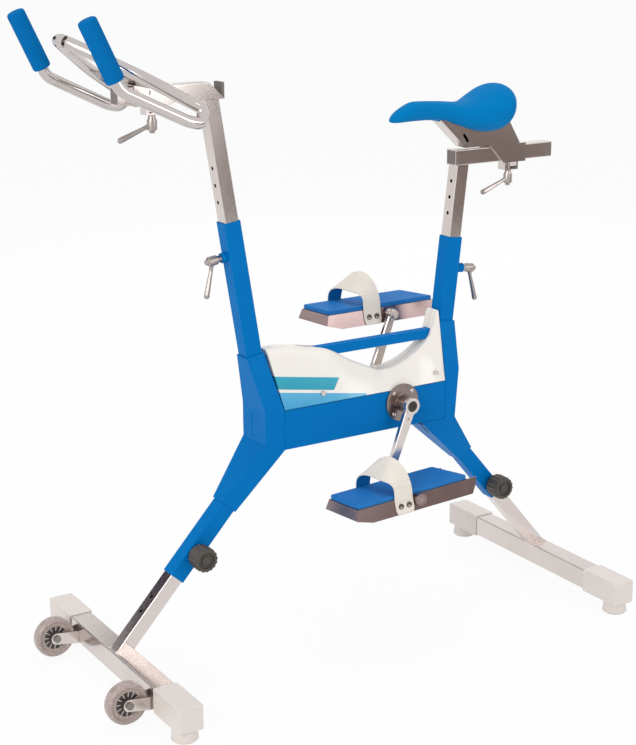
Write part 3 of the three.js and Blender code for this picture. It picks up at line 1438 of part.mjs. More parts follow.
function footShape(legFrame, baseX, slope, mouthZ) {
  const length = (mouthZ - baseTop) / Math.sin(slope);
  const leg = squareTube(INNER_SIDE, INNER_WALL, INNER_CORNER, -LEG_INSERTION, length + BASE_SIDE);
  const holes = SIDES.map(([, side], k) => {
    const bore = barGeometry(foot.holeRadius, ...spanY(legFrame === frontLeg ? 1 : -1, 0, INNER_SIDE), "x", 8);
    return solid(bore.translate(0, 0, foot.holeFirst + (k + 1) * foot.holePitch));
  });
  const reach = BASE_SIDE * 3;
  const floor = boxGeometry(
    point(baseX - reach, -BASE_SIDE, BASE_BOTTOM - reach),
    point(baseX + reach, BASE_SIDE, baseTop - WELD_OVERLAP),
  );
  const cutLeg = legFrame.matrix;
  const placed = without(leg, [inFrame(legFrame, floor), ...holes]).transform(cutLeg.toArray());
  const cross = moved(
    squareTubeGeometry(BASE_SIDE, BASE_WALL, BASE_CORNER, -BASE_HALF_LENGTH, BASE_HALF_LENGTH),
    alongY(baseX, BASE_BOTTOM + BASE_SIDE / 2),
  );
  const [apexX] = planePoint(legFrame, (mouthZ - baseTop - foot.gussetHeight) / Math.sin(slope), 0);
  const gussets = SIDES.map(([, side]) => {
    const half = INNER_SIDE / 2;
    return loft(spanY(side, half - foot.gussetThickness, half).map((y) => [
      point(baseX - BASE_SIDE / 2 + BASE_CORNER, y, baseTop - WELD_OVERLAP),
      point(baseX + BASE_SIDE / 2 - BASE_CORNER, y, baseTop - WELD_OVERLAP),
      point(apexX, y, baseTop + foot.gussetHeight),
    ]));
  });
  return joined([placed, cross, ...gussets]);
}

function capShape(side, baseX) {
  const outer = BASE_SIDE + 2 * foot.capGrow;
  const start = BASE_HALF_LENGTH - foot.capGrip;
  const depth = foot.capGrip + foot.capWall;
  const rounded = new RoundedBoxGeometry(outer, depth, outer, 1, foot.capRound);
  const middle = BASE_BOTTOM + BASE_SIDE / 2;
  rounded.translate(baseX, side * (start + depth / 2), middle);
  const span = spanY(side, start - CUT_OVERRUN, BASE_HALF_LENGTH + RUNNING_GAP);
  const bore = moved(
    squareTubeGeometry(BASE_SIDE + 2 * RUNNING_GAP, 0, BASE_CORNER, ...span),
    alongY(baseX, middle),
  );
  const { discTopRadius, discLowRadius, discHeight, discChamfer } = foot;
  const disc = turned(
    [
      [0, 0],
      [discLowRadius - discChamfer, 0],
      [discLowRadius, discChamfer],
      [discTopRadius, discHeight],
      [0, discHeight],
    ],
    "z",
    20,
  );
  return solid(rounded).add(disc.translate([baseX, side * (BASE_HALF_LENGTH - foot.discInset), 0])).subtract(bore);
}

function addFeet() {
  const rows = [
    ["front", frontLeg, frontBaseX, FRONT_LEG_SLOPE, FRONT_LEG_MOUTH_Z],
    ["rear", rearLeg, rearBaseX, REAR_LEG_SLOPE, REAR_LEG_MOUTH_Z],
  ];
  rows.forEach(([end, frame, baseX, slope, mouthZ]) => {
    addPiece(bike, end + "_foot_frame", footShape(frame, baseX, slope, mouthZ), steel);
    SIDES.forEach(([name, side]) => addPiece(bike, `${end}_foot_cap_${name}`, capShape(side, baseX), cream));
  });
}

// Transport wheels on forks in front of the front foot
const wheel = {
  ahead: 69.5,
  inset: 121,
  z: 48.5,
  radius: 41.5,
  halfWidth: 12,
  treadHalf: 7,
  webHalf: 8,
  hubRadius: 13,
  webOuter: 30,
  boltRadius: 4,
  boltBore: 4.5,
  windowCount: 8,
  windowRadius: 5,
  windowCircle: 21.5,
  forkInner: 13.6,
  forkThickness: 2.6,
  forkEnd: 12,
  forkLow: 28,
  forkHigh: 54,
  headRadius: 7.5,
  headHeight: 4,
};

function wheelShape() {
  const { radius, halfWidth, treadHalf, webHalf, hubRadius, webOuter, boltBore } = wheel;
  const half = [
    [boltBore, halfWidth],
    [hubRadius, halfWidth],
    [hubRadius, webHalf],
    [webOuter, webHalf],
    [webOuter + treadHalf / 2, halfWidth],
    [radius - treadHalf / 2, halfWidth],
    [radius, treadHalf / 2],
  ];
  const mirror = half.map(([r, y]) => [r, -y]).reverse();
  const disc = turned([...half, ...mirror], "y", 24);
  const windows = Array.from({ length: wheel.windowCount }, (_, k) => {
    const angle = (k / wheel.windowCount) * 2 * Math.PI;
    const hole = barGeometry(wheel.windowRadius, -halfWidth, halfWidth, "y", 6);
    return solid(hole.translate(wheel.windowCircle * Math.cos(angle), 0, wheel.windowCircle * Math.sin(angle)));
  });
  return without(disc, windows);
}

function forkShape() {
  const backX = wheel.ahead - BASE_SIDE / 2 - RUNNING_GAP;
  const [low, high] = [wheel.forkLow - wheel.z, wheel.forkHigh - wheel.z];
  const outer = wheel.forkInner + wheel.forkThickness;
  const plate = (span) => {
    const arm = new THREE.Shape();
    arm.moveTo(backX, low);
    arm.lineTo(backX, high);
    arm.lineTo(0, wheel.forkEnd);
    arm.absarc(0, 0, wheel.forkEnd, Math.PI / 2, (3 * Math.PI) / 2);
    const blade = new THREE.ExtrudeGeometry(arm, { depth: span[1] - span[0], bevelEnabled: false, curveSegments: 8 });
    return solid(blade.rotateX(Math.PI / 2).translate(0, span[1], 0));
  };
  const plates = SIDES.map(([, side]) => plate(spanY(side, wheel.forkInner, outer)));
  const back = box(point(backX - wheel.forkThickness, -outer, low), point(backX, outer, high));
  const bore = bar(wheel.boltRadius + RUNNING_GAP, -outer - CUT_OVERRUN, outer + CUT_OVERRUN, "y", 12);
  return joined([...plates, back]).subtract(bore);
}

function addWheels() {
  SIDES.forEach(([name, side]) => {
    const mount = new THREE.Group();
    mount.position.set(frontBaseX - wheel.ahead, side * (BASE_HALF_LENGTH - wheel.inset), wheel.z);
    bike.add(mount);
    const outer = wheel.forkInner + wheel.forkThickness + RUNNING_GAP;
    const bolt = joined([
      bar(wheel.boltRadius, -outer - wheel.headHeight / 2, outer + wheel.headHeight / 2, "y", 12),
      bar(wheel.headRadius, outer, outer + wheel.headHeight, "y", 6),
      bar(wheel.headRadius, -outer - wheel.headHeight, -outer, "y", 14),
    ]);
    addPiece(mount, "wheel_fork_" + name, forkShape(), steel);
    addPiece(mount, "wheel_" + name, wheelShape(), wheelClear);
    addPiece(mount, "wheel_bolt_" + name, bolt, darkSteel);
  });
}

const crankFrame = new THREE.Group();
crankFrame.position.set(CRANK_X, 0, CRANK_Z);
bike.add(crankFrame);

addBeam();
addFrontJunction();
addRearJunction();
addPostSleeves();
addLegSleeves();
addBrace();
addCovers();
addCoverScrews();
addBottomBracket();
addCrank();
addPedals();
addPosts();
addRails();
addHandlebar();
addBarSlider();
addSaddle();
addLevers();
addKnobs();
addFeet();
addWheels();

// The origin lies on the floor, under the middle of the bike
bike.updateMatrixWorld(true);
const bounds = new THREE.Box3().setFromObject(bike, true);
const centre = bounds.getCenter(new THREE.Vector3());
bike.position.set(-centre.x, -centre.y, -bounds.min.z);

export default bike;
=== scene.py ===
import json
from math import atan2, cos, pi, radians, sin

import bmesh
import bpy
from mathutils import Matrix, Vector

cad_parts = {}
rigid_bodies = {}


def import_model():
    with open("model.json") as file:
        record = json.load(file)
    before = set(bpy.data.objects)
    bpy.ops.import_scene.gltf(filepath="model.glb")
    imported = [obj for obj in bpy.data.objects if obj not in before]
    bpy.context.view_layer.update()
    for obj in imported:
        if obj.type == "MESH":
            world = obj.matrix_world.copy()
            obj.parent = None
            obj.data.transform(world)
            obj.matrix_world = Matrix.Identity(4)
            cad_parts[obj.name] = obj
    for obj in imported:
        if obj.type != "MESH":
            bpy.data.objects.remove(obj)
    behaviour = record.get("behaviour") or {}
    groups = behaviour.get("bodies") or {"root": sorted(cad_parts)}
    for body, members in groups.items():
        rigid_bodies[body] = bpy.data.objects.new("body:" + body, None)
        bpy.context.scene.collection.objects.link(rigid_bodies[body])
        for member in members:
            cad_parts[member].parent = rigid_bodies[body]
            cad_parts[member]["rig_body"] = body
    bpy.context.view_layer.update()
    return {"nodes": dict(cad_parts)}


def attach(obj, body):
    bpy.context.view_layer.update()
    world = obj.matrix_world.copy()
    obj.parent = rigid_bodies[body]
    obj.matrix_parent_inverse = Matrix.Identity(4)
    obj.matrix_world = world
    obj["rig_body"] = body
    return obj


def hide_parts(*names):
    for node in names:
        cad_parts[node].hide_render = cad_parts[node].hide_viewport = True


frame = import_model()

# Camera: a long lens at chest height, in front of the bike and to its left, where the
# product photograph was taken from.
viewpoint = Vector((-1.6491, -2.6260, 1.4352))
yaw, pitch, roll = radians(58.18), radians(15.80), radians(-0.39)
ahead = Vector((cos(yaw) * cos(pitch), sin(yaw) * cos(pitch), -sin(pitch)))
level = ahead.cross(Vector((0, 0, 1))).normalized()
above = level.cross(ahead)
right = cos(roll) * level + sin(roll) * above
upward = cos(roll) * above - sin(roll) * level
lens = bpy.data.cameras.new("product_camera")
lens.lens, lens.sensor_width = 77.0, 36.0
lens.clip_end = 200
camera = bpy.data.objects.new("product_camera", lens)
camera.matrix_world = Matrix((
    (right.x, upward.x, -ahead.x, viewpoint.x),
    (right.y, upward.y, -ahead.y, viewpoint.y),
    (right.z, upward.z, -ahead.z, viewpoint.z),
    (0, 0, 0, 1),
))
scene = bpy.context.scene
scene.collection.objects.link(camera)
scene.camera = camera
scene.view_settings.view_transform = "Standard"

# Studio: a wide pale floor that runs out to a white room, one broad soft lamp in front and
# to the left, a weaker one on the right, one overhead and one behind.
def reckoner(tree):
    """A function that adds one Math node to a tree, from numbers and sockets, and gives its result."""
    def reckon(operation, *values):
        node = tree.nodes.new("ShaderNodeMath")
        node.operation = operation
        for k, value in enumerate(values):
            if isinstance(value, (int, float)):
                node.inputs[k].default_value = value
            else:
                tree.links.new(value, node.inputs[k])
        return node.outputs[0]
    return reckon


def seen_directly(tree):
    """1 for what the camera, a mirror or a clear piece shows, 0 for the light on the bike."""
    ray, reckon = tree.nodes.new("ShaderNodeLightPath").outputs, reckoner(tree)
    shown = reckon("MAXIMUM", ray["Is Camera Ray"], ray["Is Glossy Ray"])
    return reckon("MAXIMUM", shown, ray["Is Transmission Ray"])


room = bpy.data.worlds.new("white_room")
scene.world = room
room.use_nodes = True
nodes, links = room.node_tree.nodes, room.node_tree.links
nodes.clear()
daylight, white = nodes.new("ShaderNodeBackground"), nodes.new("ShaderNodeBackground")
daylight.inputs["Color"].default_value = (0.93, 0.96, 1, 1)
daylight.inputs["Strength"].default_value = 0.60
white.inputs["Color"].default_value = (1, 1, 1, 1)
white.inputs["Strength"].default_value = 1.0
either, sky = nodes.new("ShaderNodeMixShader"), nodes.new("ShaderNodeOutputWorld")
links.new(seen_directly(room.node_tree), either.inputs["Fac"])
links.new(daylight.outputs[0], either.inputs[1])
links.new(white.outputs[0], either.inputs[2])
links.new(either.outputs[0], sky.inputs["Surface"])

FLOOR_HALF, FLOOR_TOP, FLOOR_GLOW = 60, -0.0004, 0.92
SQUARE = ((-1, -1), (1, -1), (1, 1), (-1, 1))
floor_mesh = bpy.data.meshes.new("studio_floor")
floor_mesh.from_pydata([(x * FLOOR_HALF, y * FLOOR_HALF, FLOOR_TOP) for x, y in SQUARE], [], [(0, 1, 2, 3)])
studio_floor = bpy.data.objects.new("studio_floor", floor_mesh)
scene.collection.objects.link(studio_floor)
pale = bpy.data.materials.new("pale_floor")
pale.use_nodes = True
nodes, links = pale.node_tree.nodes, pale.node_tree.links
nodes.clear()
matt, glow = nodes.new("ShaderNodeBsdfDiffuse"), nodes.new("ShaderNodeEmission")
matt.inputs["Color"].default_value = (0.92, 0.92, 0.92, 1)
glow.inputs["Color"].default_value = (1, 1, 1, 1)
glow.inputs["Strength"].default_value = 1.0
laid, ground = nodes.new("ShaderNodeMixShader"), nodes.new("ShaderNodeOutputMaterial")
glowing = reckoner(pale.node_tree)("MULTIPLY", seen_directly(pale.node_tree), FLOOR_GLOW)
links.new(glowing, laid.inputs["Fac"])
links.new(matt.outputs[0], laid.inputs[1])
links.new(glow.outputs[0], laid.inputs[2])
links.new(laid.outputs[0], ground.inputs["Surface"])
floor_mesh.materials.append(pale)

for lamp_name, place, aim, size, power in (
    ("front_lamp", (-4.2, -2.2, 2.6), (0, 0, 0.6), 2.6, 92),
    ("side_lamp", (2.6, -4.4, 1.6), (0, 0, 0.6), 2.2, 40),
    ("top_lamp", (0.3, 0.4, 4.4), (0, 0, 0.6), 2.4, 46),
    ("back_lamp", (3.0, 3.6, 2.4), (0, 0, 0.7), 2.0, 36),
):
    lamp = bpy.data.lights.new(lamp_name, "AREA")
    lamp.size, lamp.energy = size, power
    holder = bpy.data.objects.new(lamp_name, lamp)
    holder.location = place
    holder.rotation_euler = (Vector(aim) - Vector(place)).to_track_quat("-Z", "Y").to_euler()
    holder.visible_glossy = lamp_name in ("front_lamp", "side_lamp")
    scene.collection.objects.link(holder)

# Three brown and dark cards that stand outside the view, as in product photography, so that
# polished metal shows edges: only reflections see them. They are not lit: each glows with a
# fixed colour of its own, a painted reflection.
for card_name, place, wide, high, glow_colour in (
    ("right_card", (2.3, -3.1, 0.62), 1.9, 1.25, (0.17, 0.125, 0.11, 1)),
    ("back_card", (-1.9, 3.4, 2.2), 2.2, 1.8, (0.045, 0.035, 0.06, 1)),
    ("high_card", (1.75, 3.4, 2.6), 1.5, 1.3, (0.09, 0.07, 0.06, 1)),
):
    card_mesh = bpy.data.meshes.new(card_name)
    card_mesh.from_pydata([(x * wide / 2, 0, z * high / 2) for x, z in SQUARE], [], [(0, 1, 2, 3)])
    card = bpy.data.objects.new(card_name, card_mesh)
    card.location = place
    card.rotation_euler = (Vector((0, 0, place[2])) - Vector(place)).to_track_quat("Y", "Z").to_euler()
    card.visible_camera = card.visible_diffuse = card.visible_shadow = card.visible_transmission = False
    scene.collection.objects.link(card)
    # the card's material glows with glow_colour instead of being lit: a painted reflection in the metal
    reflection_glow = bpy.data.materials.new(card_name + "_paper")
    reflection_glow.use_nodes = True
    for label, value in (
        ("Base Color", (0, 0, 0, 1)), ("Specular IOR Level", 0.0),
        ("Emission Color", glow_colour), ("Emission Strength", 1.0),
    ):
        reflection_glow.node_tree.nodes["Principled BSDF"].inputs[label].default_value = value
    card_mesh.materials.append(reflection_glow)

# Painted frame: beam, folded junctions, four sleeves and the brace are welded stainless tube
# and plate under one coat of glossy blue powder paint, with soft arrises.
MIDDLE_X = 27.5
MIX_A, MIX_B, MIX_OUT = 6, 7, 2  # colour sockets of a Mix node
WELD_GAP, FLAT_ANGLE, SHORTEST_ARRIS, FLAT_WEIGHT = 4e-6, radians(0.4), 5, 90


def at(x, y, z):
    """A point given in the drawing's millimetres, where the bike's middle stands at MIDDLE_X."""
    return Vector((x - MIDDLE_X, y, z)) / 1000


def grain_group():
    """A fine grain and a broad patch of noise, for gloss, surface and colour."""
    group = bpy.data.node_groups.new("surface_grain", "ShaderNodeTree")
    for label, kind, value in (
        ("Scale", "NodeSocketFloat", 400.0),
        ("Stretch", "NodeSocketVector", (1, 1, 1)),
        ("Roughness", "NodeSocketFloat", 0.4),
        ("Spread", "NodeSocketFloat", 0.1),
        ("Patch Scale", "NodeSocketFloat", 14.0),
    ):
        group.interface.new_socket(label, in_out="INPUT", socket_type=kind).default_value = value
    for label in ("Roughness", "Height", "Patch"):
        group.interface.new_socket(label, in_out="OUTPUT", socket_type="NodeSocketFloat")
    nodes, links = group.nodes, group.links
    given, made = nodes.new("NodeGroupInput"), nodes.new("NodeGroupOutput")
    place, turn = nodes.new("ShaderNodeTexCoord"), nodes.new("ShaderNodeMapping")
    fine, patch = nodes.new("ShaderNodeTexNoise"), nodes.new("ShaderNodeTexNoise")
    fine.inputs["Detail"].default_value = 3
    patch.inputs["Detail"].default_value = 4
    links.new(place.outputs["Object"], turn.inputs["Vector"])
    links.new(given.outputs["Stretch"], turn.inputs["Scale"])
    links.new(turn.outputs[0], fine.inputs["Vector"])
    links.new(given.outputs["Scale"], fine.inputs["Scale"])
    links.new(place.outputs["Object"], patch.inputs["Vector"])
    links.new(given.outputs["Patch Scale"], patch.inputs["Scale"])
    reckon = reckoner(group)
    middle = reckon("SUBTRACT", reckon("ADD", fine.outputs["Fac"], patch.outputs["Fac"]), 1.0)
    gloss = reckon("ADD", reckon("MULTIPLY", middle, given.outputs["Spread"]), given.outputs["Roughness"])
    links.new(gloss, made.inputs["Roughness"])
    links.new(fine.outputs["Fac"], made.inputs["Height"])
    links.new(patch.outputs["Fac"], made.inputs["Patch"])
    return group


surface_grain = grain_group()


def finish(
    name, colour, deeper, roughness, spread, scale, bump,
    metallic=0.0, coat=0.0, stretch=(1, 1, 1), patch=14.0, **sockets,
):
    """One material: two near colours in soft patches, a fine grain in its gloss and its surface."""
    material = bpy.data.materials.new(name)
    material.use_nodes = True
    nodes, links = material.node_tree.nodes, material.node_tree.links
    shader = nodes["Principled BSDF"]
    grain, tone, relief = (nodes.new("ShaderNode" + kind) for kind in ("Group", "Mix", "Bump"))
    grain.node_tree = surface_grain
    for label, value in (
        ("Scale", scale), ("Stretch", stretch), ("Roughness", roughness), ("Spread", spread),
        ("Patch Scale", patch),
    ):
        grain.inputs[label].default_value = value
    tone.data_type = "RGBA"
    tone.inputs[MIX_A].default_value, tone.inputs[MIX_B].default_value = (*colour, 1), (*deeper, 1)
    relief.inputs["Strength"].default_value = 1.0
    relief.inputs["Distance"].default_value = bump
    links.new(grain.outputs["Patch"], tone.inputs[0])
    links.new(tone.outputs[MIX_OUT], shader.inputs["Base Color"])
    links.new(grain.outputs["Roughness"], shader.inputs["Roughness"])
    links.new(grain.outputs["Height"], relief.inputs["Height"])
    links.new(relief.outputs[0], shader.inputs["Normal"])
    shader.inputs["Metallic"].default_value = metallic
    shader.inputs["Coat Weight"].default_value = coat
    for label, value in sockets.items():
        shader.inputs[label.replace("_", " ")].default_value = value
    return material


def seated(piece, node, slot, *more):
    """The piece moves with the body of the node that it stands for."""
    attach(piece, frame["nodes"][node]["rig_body"])
    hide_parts(node, *more)
    return piece


def dressed(node, material, slot, edge=0.0, sharp=38):
    """The welded, folded or cast piece itself, with its facets joined and its arrises broken."""
    mesh = frame["nodes"][node].data.copy()
    mesh.name = node + "_body"
    shape = bmesh.new()
    shape.from_mesh(mesh)
    bmesh.ops.remove_doubles(shape, verts=shape.verts, dist=WELD_GAP)
    bmesh.ops.dissolve_limit(shape, angle_limit=FLAT_ANGLE, verts=shape.verts, edges=shape.edges)
    if edge:
        arrises = [
            e for e in shape.edges
            if len(e.link_faces) == 2 and e.calc_face_angle(0) > radians(sharp)
            and e.calc_length() > SHORTEST_ARRIS * edge
        ]
        bmesh.ops.bevel(
            shape, geom=arrises, offset=edge, offset_type="OFFSET", segments=2, profile=0.5, affect="EDGES",
            clamp_overlap=True,
        )
    for face in shape.faces:
        face.smooth = True
    for e in shape.edges:
        e.smooth = not (len(e.link_faces) == 2 and e.calc_face_angle(0) > radians(sharp))
    shape.to_mesh(mesh)
    shape.free()
    mesh.materials.clear()
    mesh.materials.append(material)
    piece = bpy.data.objects.new(node + "_body", mesh)
    scene.collection.objects.link(piece)
    even = piece.modifiers.new("flat_faces", "WEIGHTED_NORMAL")
    even.keep_sharp = True
    even.weight = FLAT_WEIGHT
    return seated(piece, node, slot)


def spots_group():
    """A mask of even round spots, for pores, pinholes, bubbles and painted highlights."""
    group = bpy.data.node_groups.new("round_spots", "ShaderNodeTree")
    for label, value in (("Scale", 300.0), ("Spot Size", 0.25), ("Randomness", 0.35)):
        group.interface.new_socket(label, in_out="INPUT", socket_type="NodeSocketFloat").default_value = value
    group.interface.new_socket("Mask", in_out="OUTPUT", socket_type="NodeSocketFloat")
    nodes, links = group.nodes, group.links
    given, made = nodes.new("NodeGroupInput"), nodes.new("NodeGroupOutput")
    place, cells, edge = (nodes.new("ShaderNode" + kind) for kind in ("TexCoord", "TexVoronoi", "Math"))
    edge.operation = "LESS_THAN"
    links.new(place.outputs["Object"], cells.inputs["Vector"])
    links.new(given.outputs["Scale"], cells.inputs["Scale"])
    links.new(given.outputs["Randomness"], cells.inputs["Randomness"])
    links.new(cells.outputs["Distance"], edge.inputs[0])
    links.new(given.outputs["Spot Size"], edge.inputs[1])
    links.new(edge.outputs[0], made.inputs["Mask"])
    return group


round_spots = spots_group()


def spotted(material, scale, size, colour, randomness=0.35):
    """Adds small round spots of another colour to a material."""
    nodes, links = material.node_tree.nodes, material.node_tree.links
    base = nodes["Principled BSDF"].inputs["Base Color"]
    spots, laid = nodes.new("ShaderNodeGroup"), nodes.new("ShaderNodeMix")
    spots.node_tree = round_spots
    for label, value in (("Scale", scale), ("Spot Size", size), ("Randomness", randomness)):
        spots.inputs[label].default_value = value
    laid.data_type = "RGBA"
    laid.inputs[MIX_B].default_value = colour
    links.new(spots.outputs["Mask"], laid.inputs[0])
    links.new(base.links[0].from_socket, laid.inputs[MIX_A])
    links.new(laid.outputs[MIX_OUT], base)


blue_paint = finish(
    "blue_powder_paint", (0.0, 0.178, 0.51), (0.0, 0.158, 0.465), 0.38, 0.08, 900, 0.00003,
    Specular_IOR_Level=0.04,
)
for name in (
    "beam", "front_junction", "rear_junction", "brace_tube",
    "front_post_sleeve", "rear_post_sleeve", "front_leg_sleeve", "rear_leg_sleeve",
):
    dressed(name, blue_paint, "blue_paint", edge=0.0012)

# Stainless posts, rails, sliders, brackets and foot frames: satin-polished tube and folded
# sheet, cut and welded, with the polishing marks left along them.
stainless = finish(
    "polished_stainless", (0.74, 0.675, 0.645), (0.60, 0.54, 0.515), 0.17, 0.12, 260, 0.000006,
    metallic=1.0, stretch=(3, 14, 1), patch=9,
)
for name in (
    "front_post_tube", "rear_post_tube", "handlebar_rail", "saddle_rail", "handlebar_slider",
    "saddle_slider", "saddle_bracket", "front_foot_frame", "rear_foot_frame",
    "wheel_fork_left", "wheel_fork_right",
):
    dressed(name, stainless, "stainless", edge=0.0005)

# Cover: two thermoformed white shells that meet along the middle of the beam, each with a
# plain two-tone stripe in its skin, and held by two button-head screws.
BEAM_TOP, COVER_FRONT, COVER_REAR, COVER_HEIGHT = 508.5, -97.5, 293.5, 146.5
CROWN = (
    (0, 0.83), (0.055, 0.836), (0.14, 0.816), (0.235, 0.765), (0.35, 0.693), (0.49, 0.474), (0.585, 0.352),
    (0.645, 0.276), (0.71, 0.28), (0.795, 0.348), (0.885, 0.485), (0.94, 0.614), (0.968, 0.737),
    (0.984, 0.956), (1, 1),
)
FOOT_HALF, HEAD_HALF, HEAD_FRONT, FOOT_CLEAR, FOOT_RISE, SPLIT = 45, 18, -121, 1, 1.5, 0.5
BEND, BEND_SHARE, BEND_FADE, BEND_LEAST = 9.0, 0.16, 1.02, 2.5
WALL_STEPS, BEND_STEPS, TOP_STEPS = 8, 6, 3


def between(rows, at_share):
    """A smooth curve through rows of (share, value, ...), never past its neighbours."""
    last = max(k for k in range(len(rows) - 1) if rows[k][0] <= at_share or k == 0)
    a, b = rows[last], rows[last + 1]
    t = (at_share - a[0]) / (b[0] - a[0])
    before, after = rows[max(last - 1, 0)], rows[min(last + 2, len(rows) - 1)]
    made = []
    for k in range(1, len(a)):
        span = b[0] - a[0]
        lean_a = (b[k] - before[k]) / (b[0] - before[0]) if before is not a else (b[k] - a[k]) / span
        lean_b = (after[k] - a[k]) / (after[0] - a[0]) if after is not b else (b[k] - a[k]) / span
        rise = (b[k] - a[k]) / span
        lean_a = 0 if lean_a * rise <= 0 else min(abs(lean_a), 3 * abs(rise)) * (1 if rise > 0 else -1)
        lean_b = 0 if lean_b * rise <= 0 else min(abs(lean_b), 3 * abs(rise)) * (1 if rise > 0 else -1)
        h = t * t * (3 - 2 * t)
        made.append(
            a[k] + (b[k] - a[k]) * h + span * (t * (1 - t) ** 2 * lean_a - t * t * (1 - t) * lean_b)
        )
    return made


def cover_section(share, side):
    """One section of a shell, from its foot on the beam up over the shoulder to the split."""
    crown = between(CROWN, share)[0] * COVER_HEIGHT
    foot_x = COVER_FRONT + FOOT_CLEAR + (COVER_REAR - COVER_FRONT - 2 * FOOT_CLEAR) * share
    head_x = HEAD_FRONT + (COVER_REAR - FOOT_CLEAR - HEAD_FRONT) * share
    slope = atan2(FOOT_HALF - HEAD_HALF, crown - FOOT_CLEAR)
    bend = min(BEND, crown * BEND_SHARE, BEND * (BEND_FADE - share) + BEND_LEAST)
    line = []
    for k in range(WALL_STEPS + 1):
        rise = FOOT_RISE + (crown - FOOT_RISE - bend) * k / WALL_STEPS
        line.append((FOOT_HALF - (rise - FOOT_CLEAR) * sin(slope) / cos(slope), rise))
    start_y, start_z = line[-1]
    for k in range(1, BEND_STEPS + 1):
        turn = k / BEND_STEPS * (pi / 2 - slope)
        line.append((
            start_y - bend * (cos(slope) - cos(slope + turn)),
            start_z + (crown - start_z) * sin(turn) / sin(pi / 2 - slope),
        ))
    edge_y = line[-1][0]
    for k in range(1, TOP_STEPS + 1):
        line.append((edge_y + (SPLIT - edge_y) * k / TOP_STEPS, crown))
    return [
        at(foot_x + (head_x - foot_x) * (z - FOOT_CLEAR) / (crown - FOOT_CLEAR), side * y, BEAM_TOP + z)
        for y, z in line
    ]


def new_piece(name, mesh_data, *materials, smooth=True):
    """A linked object from a bmesh, with its normals outward."""
    bmesh.ops.recalc_face_normals(mesh_data, faces=mesh_data.faces)
    for face in mesh_data.faces:
        face.smooth = smooth
    mesh = bpy.data.meshes.new(name)
    mesh_data.to_mesh(mesh)
    mesh_data.free()
    for material in materials:
        mesh.materials.append(material)
    piece = bpy.data.objects.new(name, mesh)
    scene.collection.objects.link(piece)
    return piece


def skinned(rings, closed_ring=True, ends=()):
    """A bmesh skin over rings of points; ends names the ones that are closed with a face."""
    skin = bmesh.new()
    rows = [[skin.verts.new(p) for p in ring] for ring in rings]
    count = len(rows[0])
    for low, high in zip(rows, rows[1:]):
        for k in range(count if closed_ring else count - 1):
            n = (k + 1) % count
            skin.faces.new((low[k], low[n], high[n], high[k]))
    for end in ends:
        skin.faces.new(rows[end])
    return skin


def flattened(piece):
    """The piece with its modifiers made into its mesh."""
    graph = bpy.context.evaluated_depsgraph_get()
    solid = bpy.data.meshes.new_from_object(piece.evaluated_get(graph), depsgraph=graph)
    piece.modifiers.clear()
    piece.data = solid
    return piece


def sharpened(piece, angle=40):
    """Shaded smooth but for creases, with its large faces kept flat."""
    edged = bmesh.new()
    edged.from_mesh(piece.data)
    for e in edged.edges:
        e.smooth = not (len(e.link_faces) == 2 and e.calc_face_angle(0) > radians(angle))
    for face in edged.faces:
        face.smooth = True
    edged.to_mesh(piece.data)
    edged.free()
    even = piece.modifiers.new("flat_faces", "WEIGHTED_NORMAL")
    even.keep_sharp = True
    return piece


def striped_white():
    """White shell with a teal and a light blue stripe that slant back from its front corner."""
    material = finish(
        "white_cover_plastic", (0.88, 0.825, 0.755), (0.85, 0.79, 0.72), 0.2, 0.06, 500, 0.00002,
        coat=0.3, Coat_Roughness=0.1,
    )
    nodes, links = material.node_tree.nodes, material.node_tree.links
    shader, reckon = nodes["Principled BSDF"], reckoner(material.node_tree)
    place, axes = nodes.new("ShaderNodeTexCoord"), nodes.new("ShaderNodeSeparateXYZ")
    links.new(place.outputs["Object"], axes.inputs[0])

    # height over the beam, falling toward the rear, and the slanted rear ends of both stripes
    fall, base_height, rear_slant = 0.16, 0.5095, -0.75
    rise = reckon("MULTIPLY_ADD", axes.outputs["X"], fall, reckon("SUBTRACT", axes.outputs["Z"], base_height))
    along = reckon("MULTIPLY_ADD", axes.outputs["Z"], rear_slant, axes.outputs["X"])

    def stripe(low, high, rear):
        inside = reckon("MULTIPLY", reckon("GREATER_THAN", rise, low), reckon("LESS_THAN", rise, high))
        return reckon("MULTIPLY", inside, reckon("LESS_THAN", along, rear))

    colour = shader.inputs["Base Color"].links[0].from_socket
    fade = nodes.new("ShaderNodeMapRange")
    fade.inputs["From Min"].default_value, fade.inputs["From Max"].default_value = -0.02, 0.045
    links.new(rise, fade.inputs["Value"])
    for mask, dark, light in (
        (stripe(0.021, 0.046, -0.405), (0.0, 0.24, 0.36, 1), (0.0, 0.36, 0.49, 1)),
        (stripe(-0.05, 0.015, -0.315), (0.02, 0.33, 0.60, 1), (0.13, 0.50, 0.72, 1)),
    ):
        tint, laid = nodes.new("ShaderNodeMix"), nodes.new("ShaderNodeMix")
        tint.data_type = laid.data_type = "RGBA"
        tint.inputs[MIX_A].default_value, tint.inputs[MIX_B].default_value = dark, light
        links.new(fade.outputs[0], tint.inputs[0])
        links.new(mask, laid.inputs[0])
        links.new(colour, laid.inputs[MIX_A])
        links.new(tint.outputs[MIX_OUT], laid.inputs[MIX_B])
        colour = laid.outputs[MIX_OUT]
    links.new(colour, shader.inputs["Base Color"])
    return material


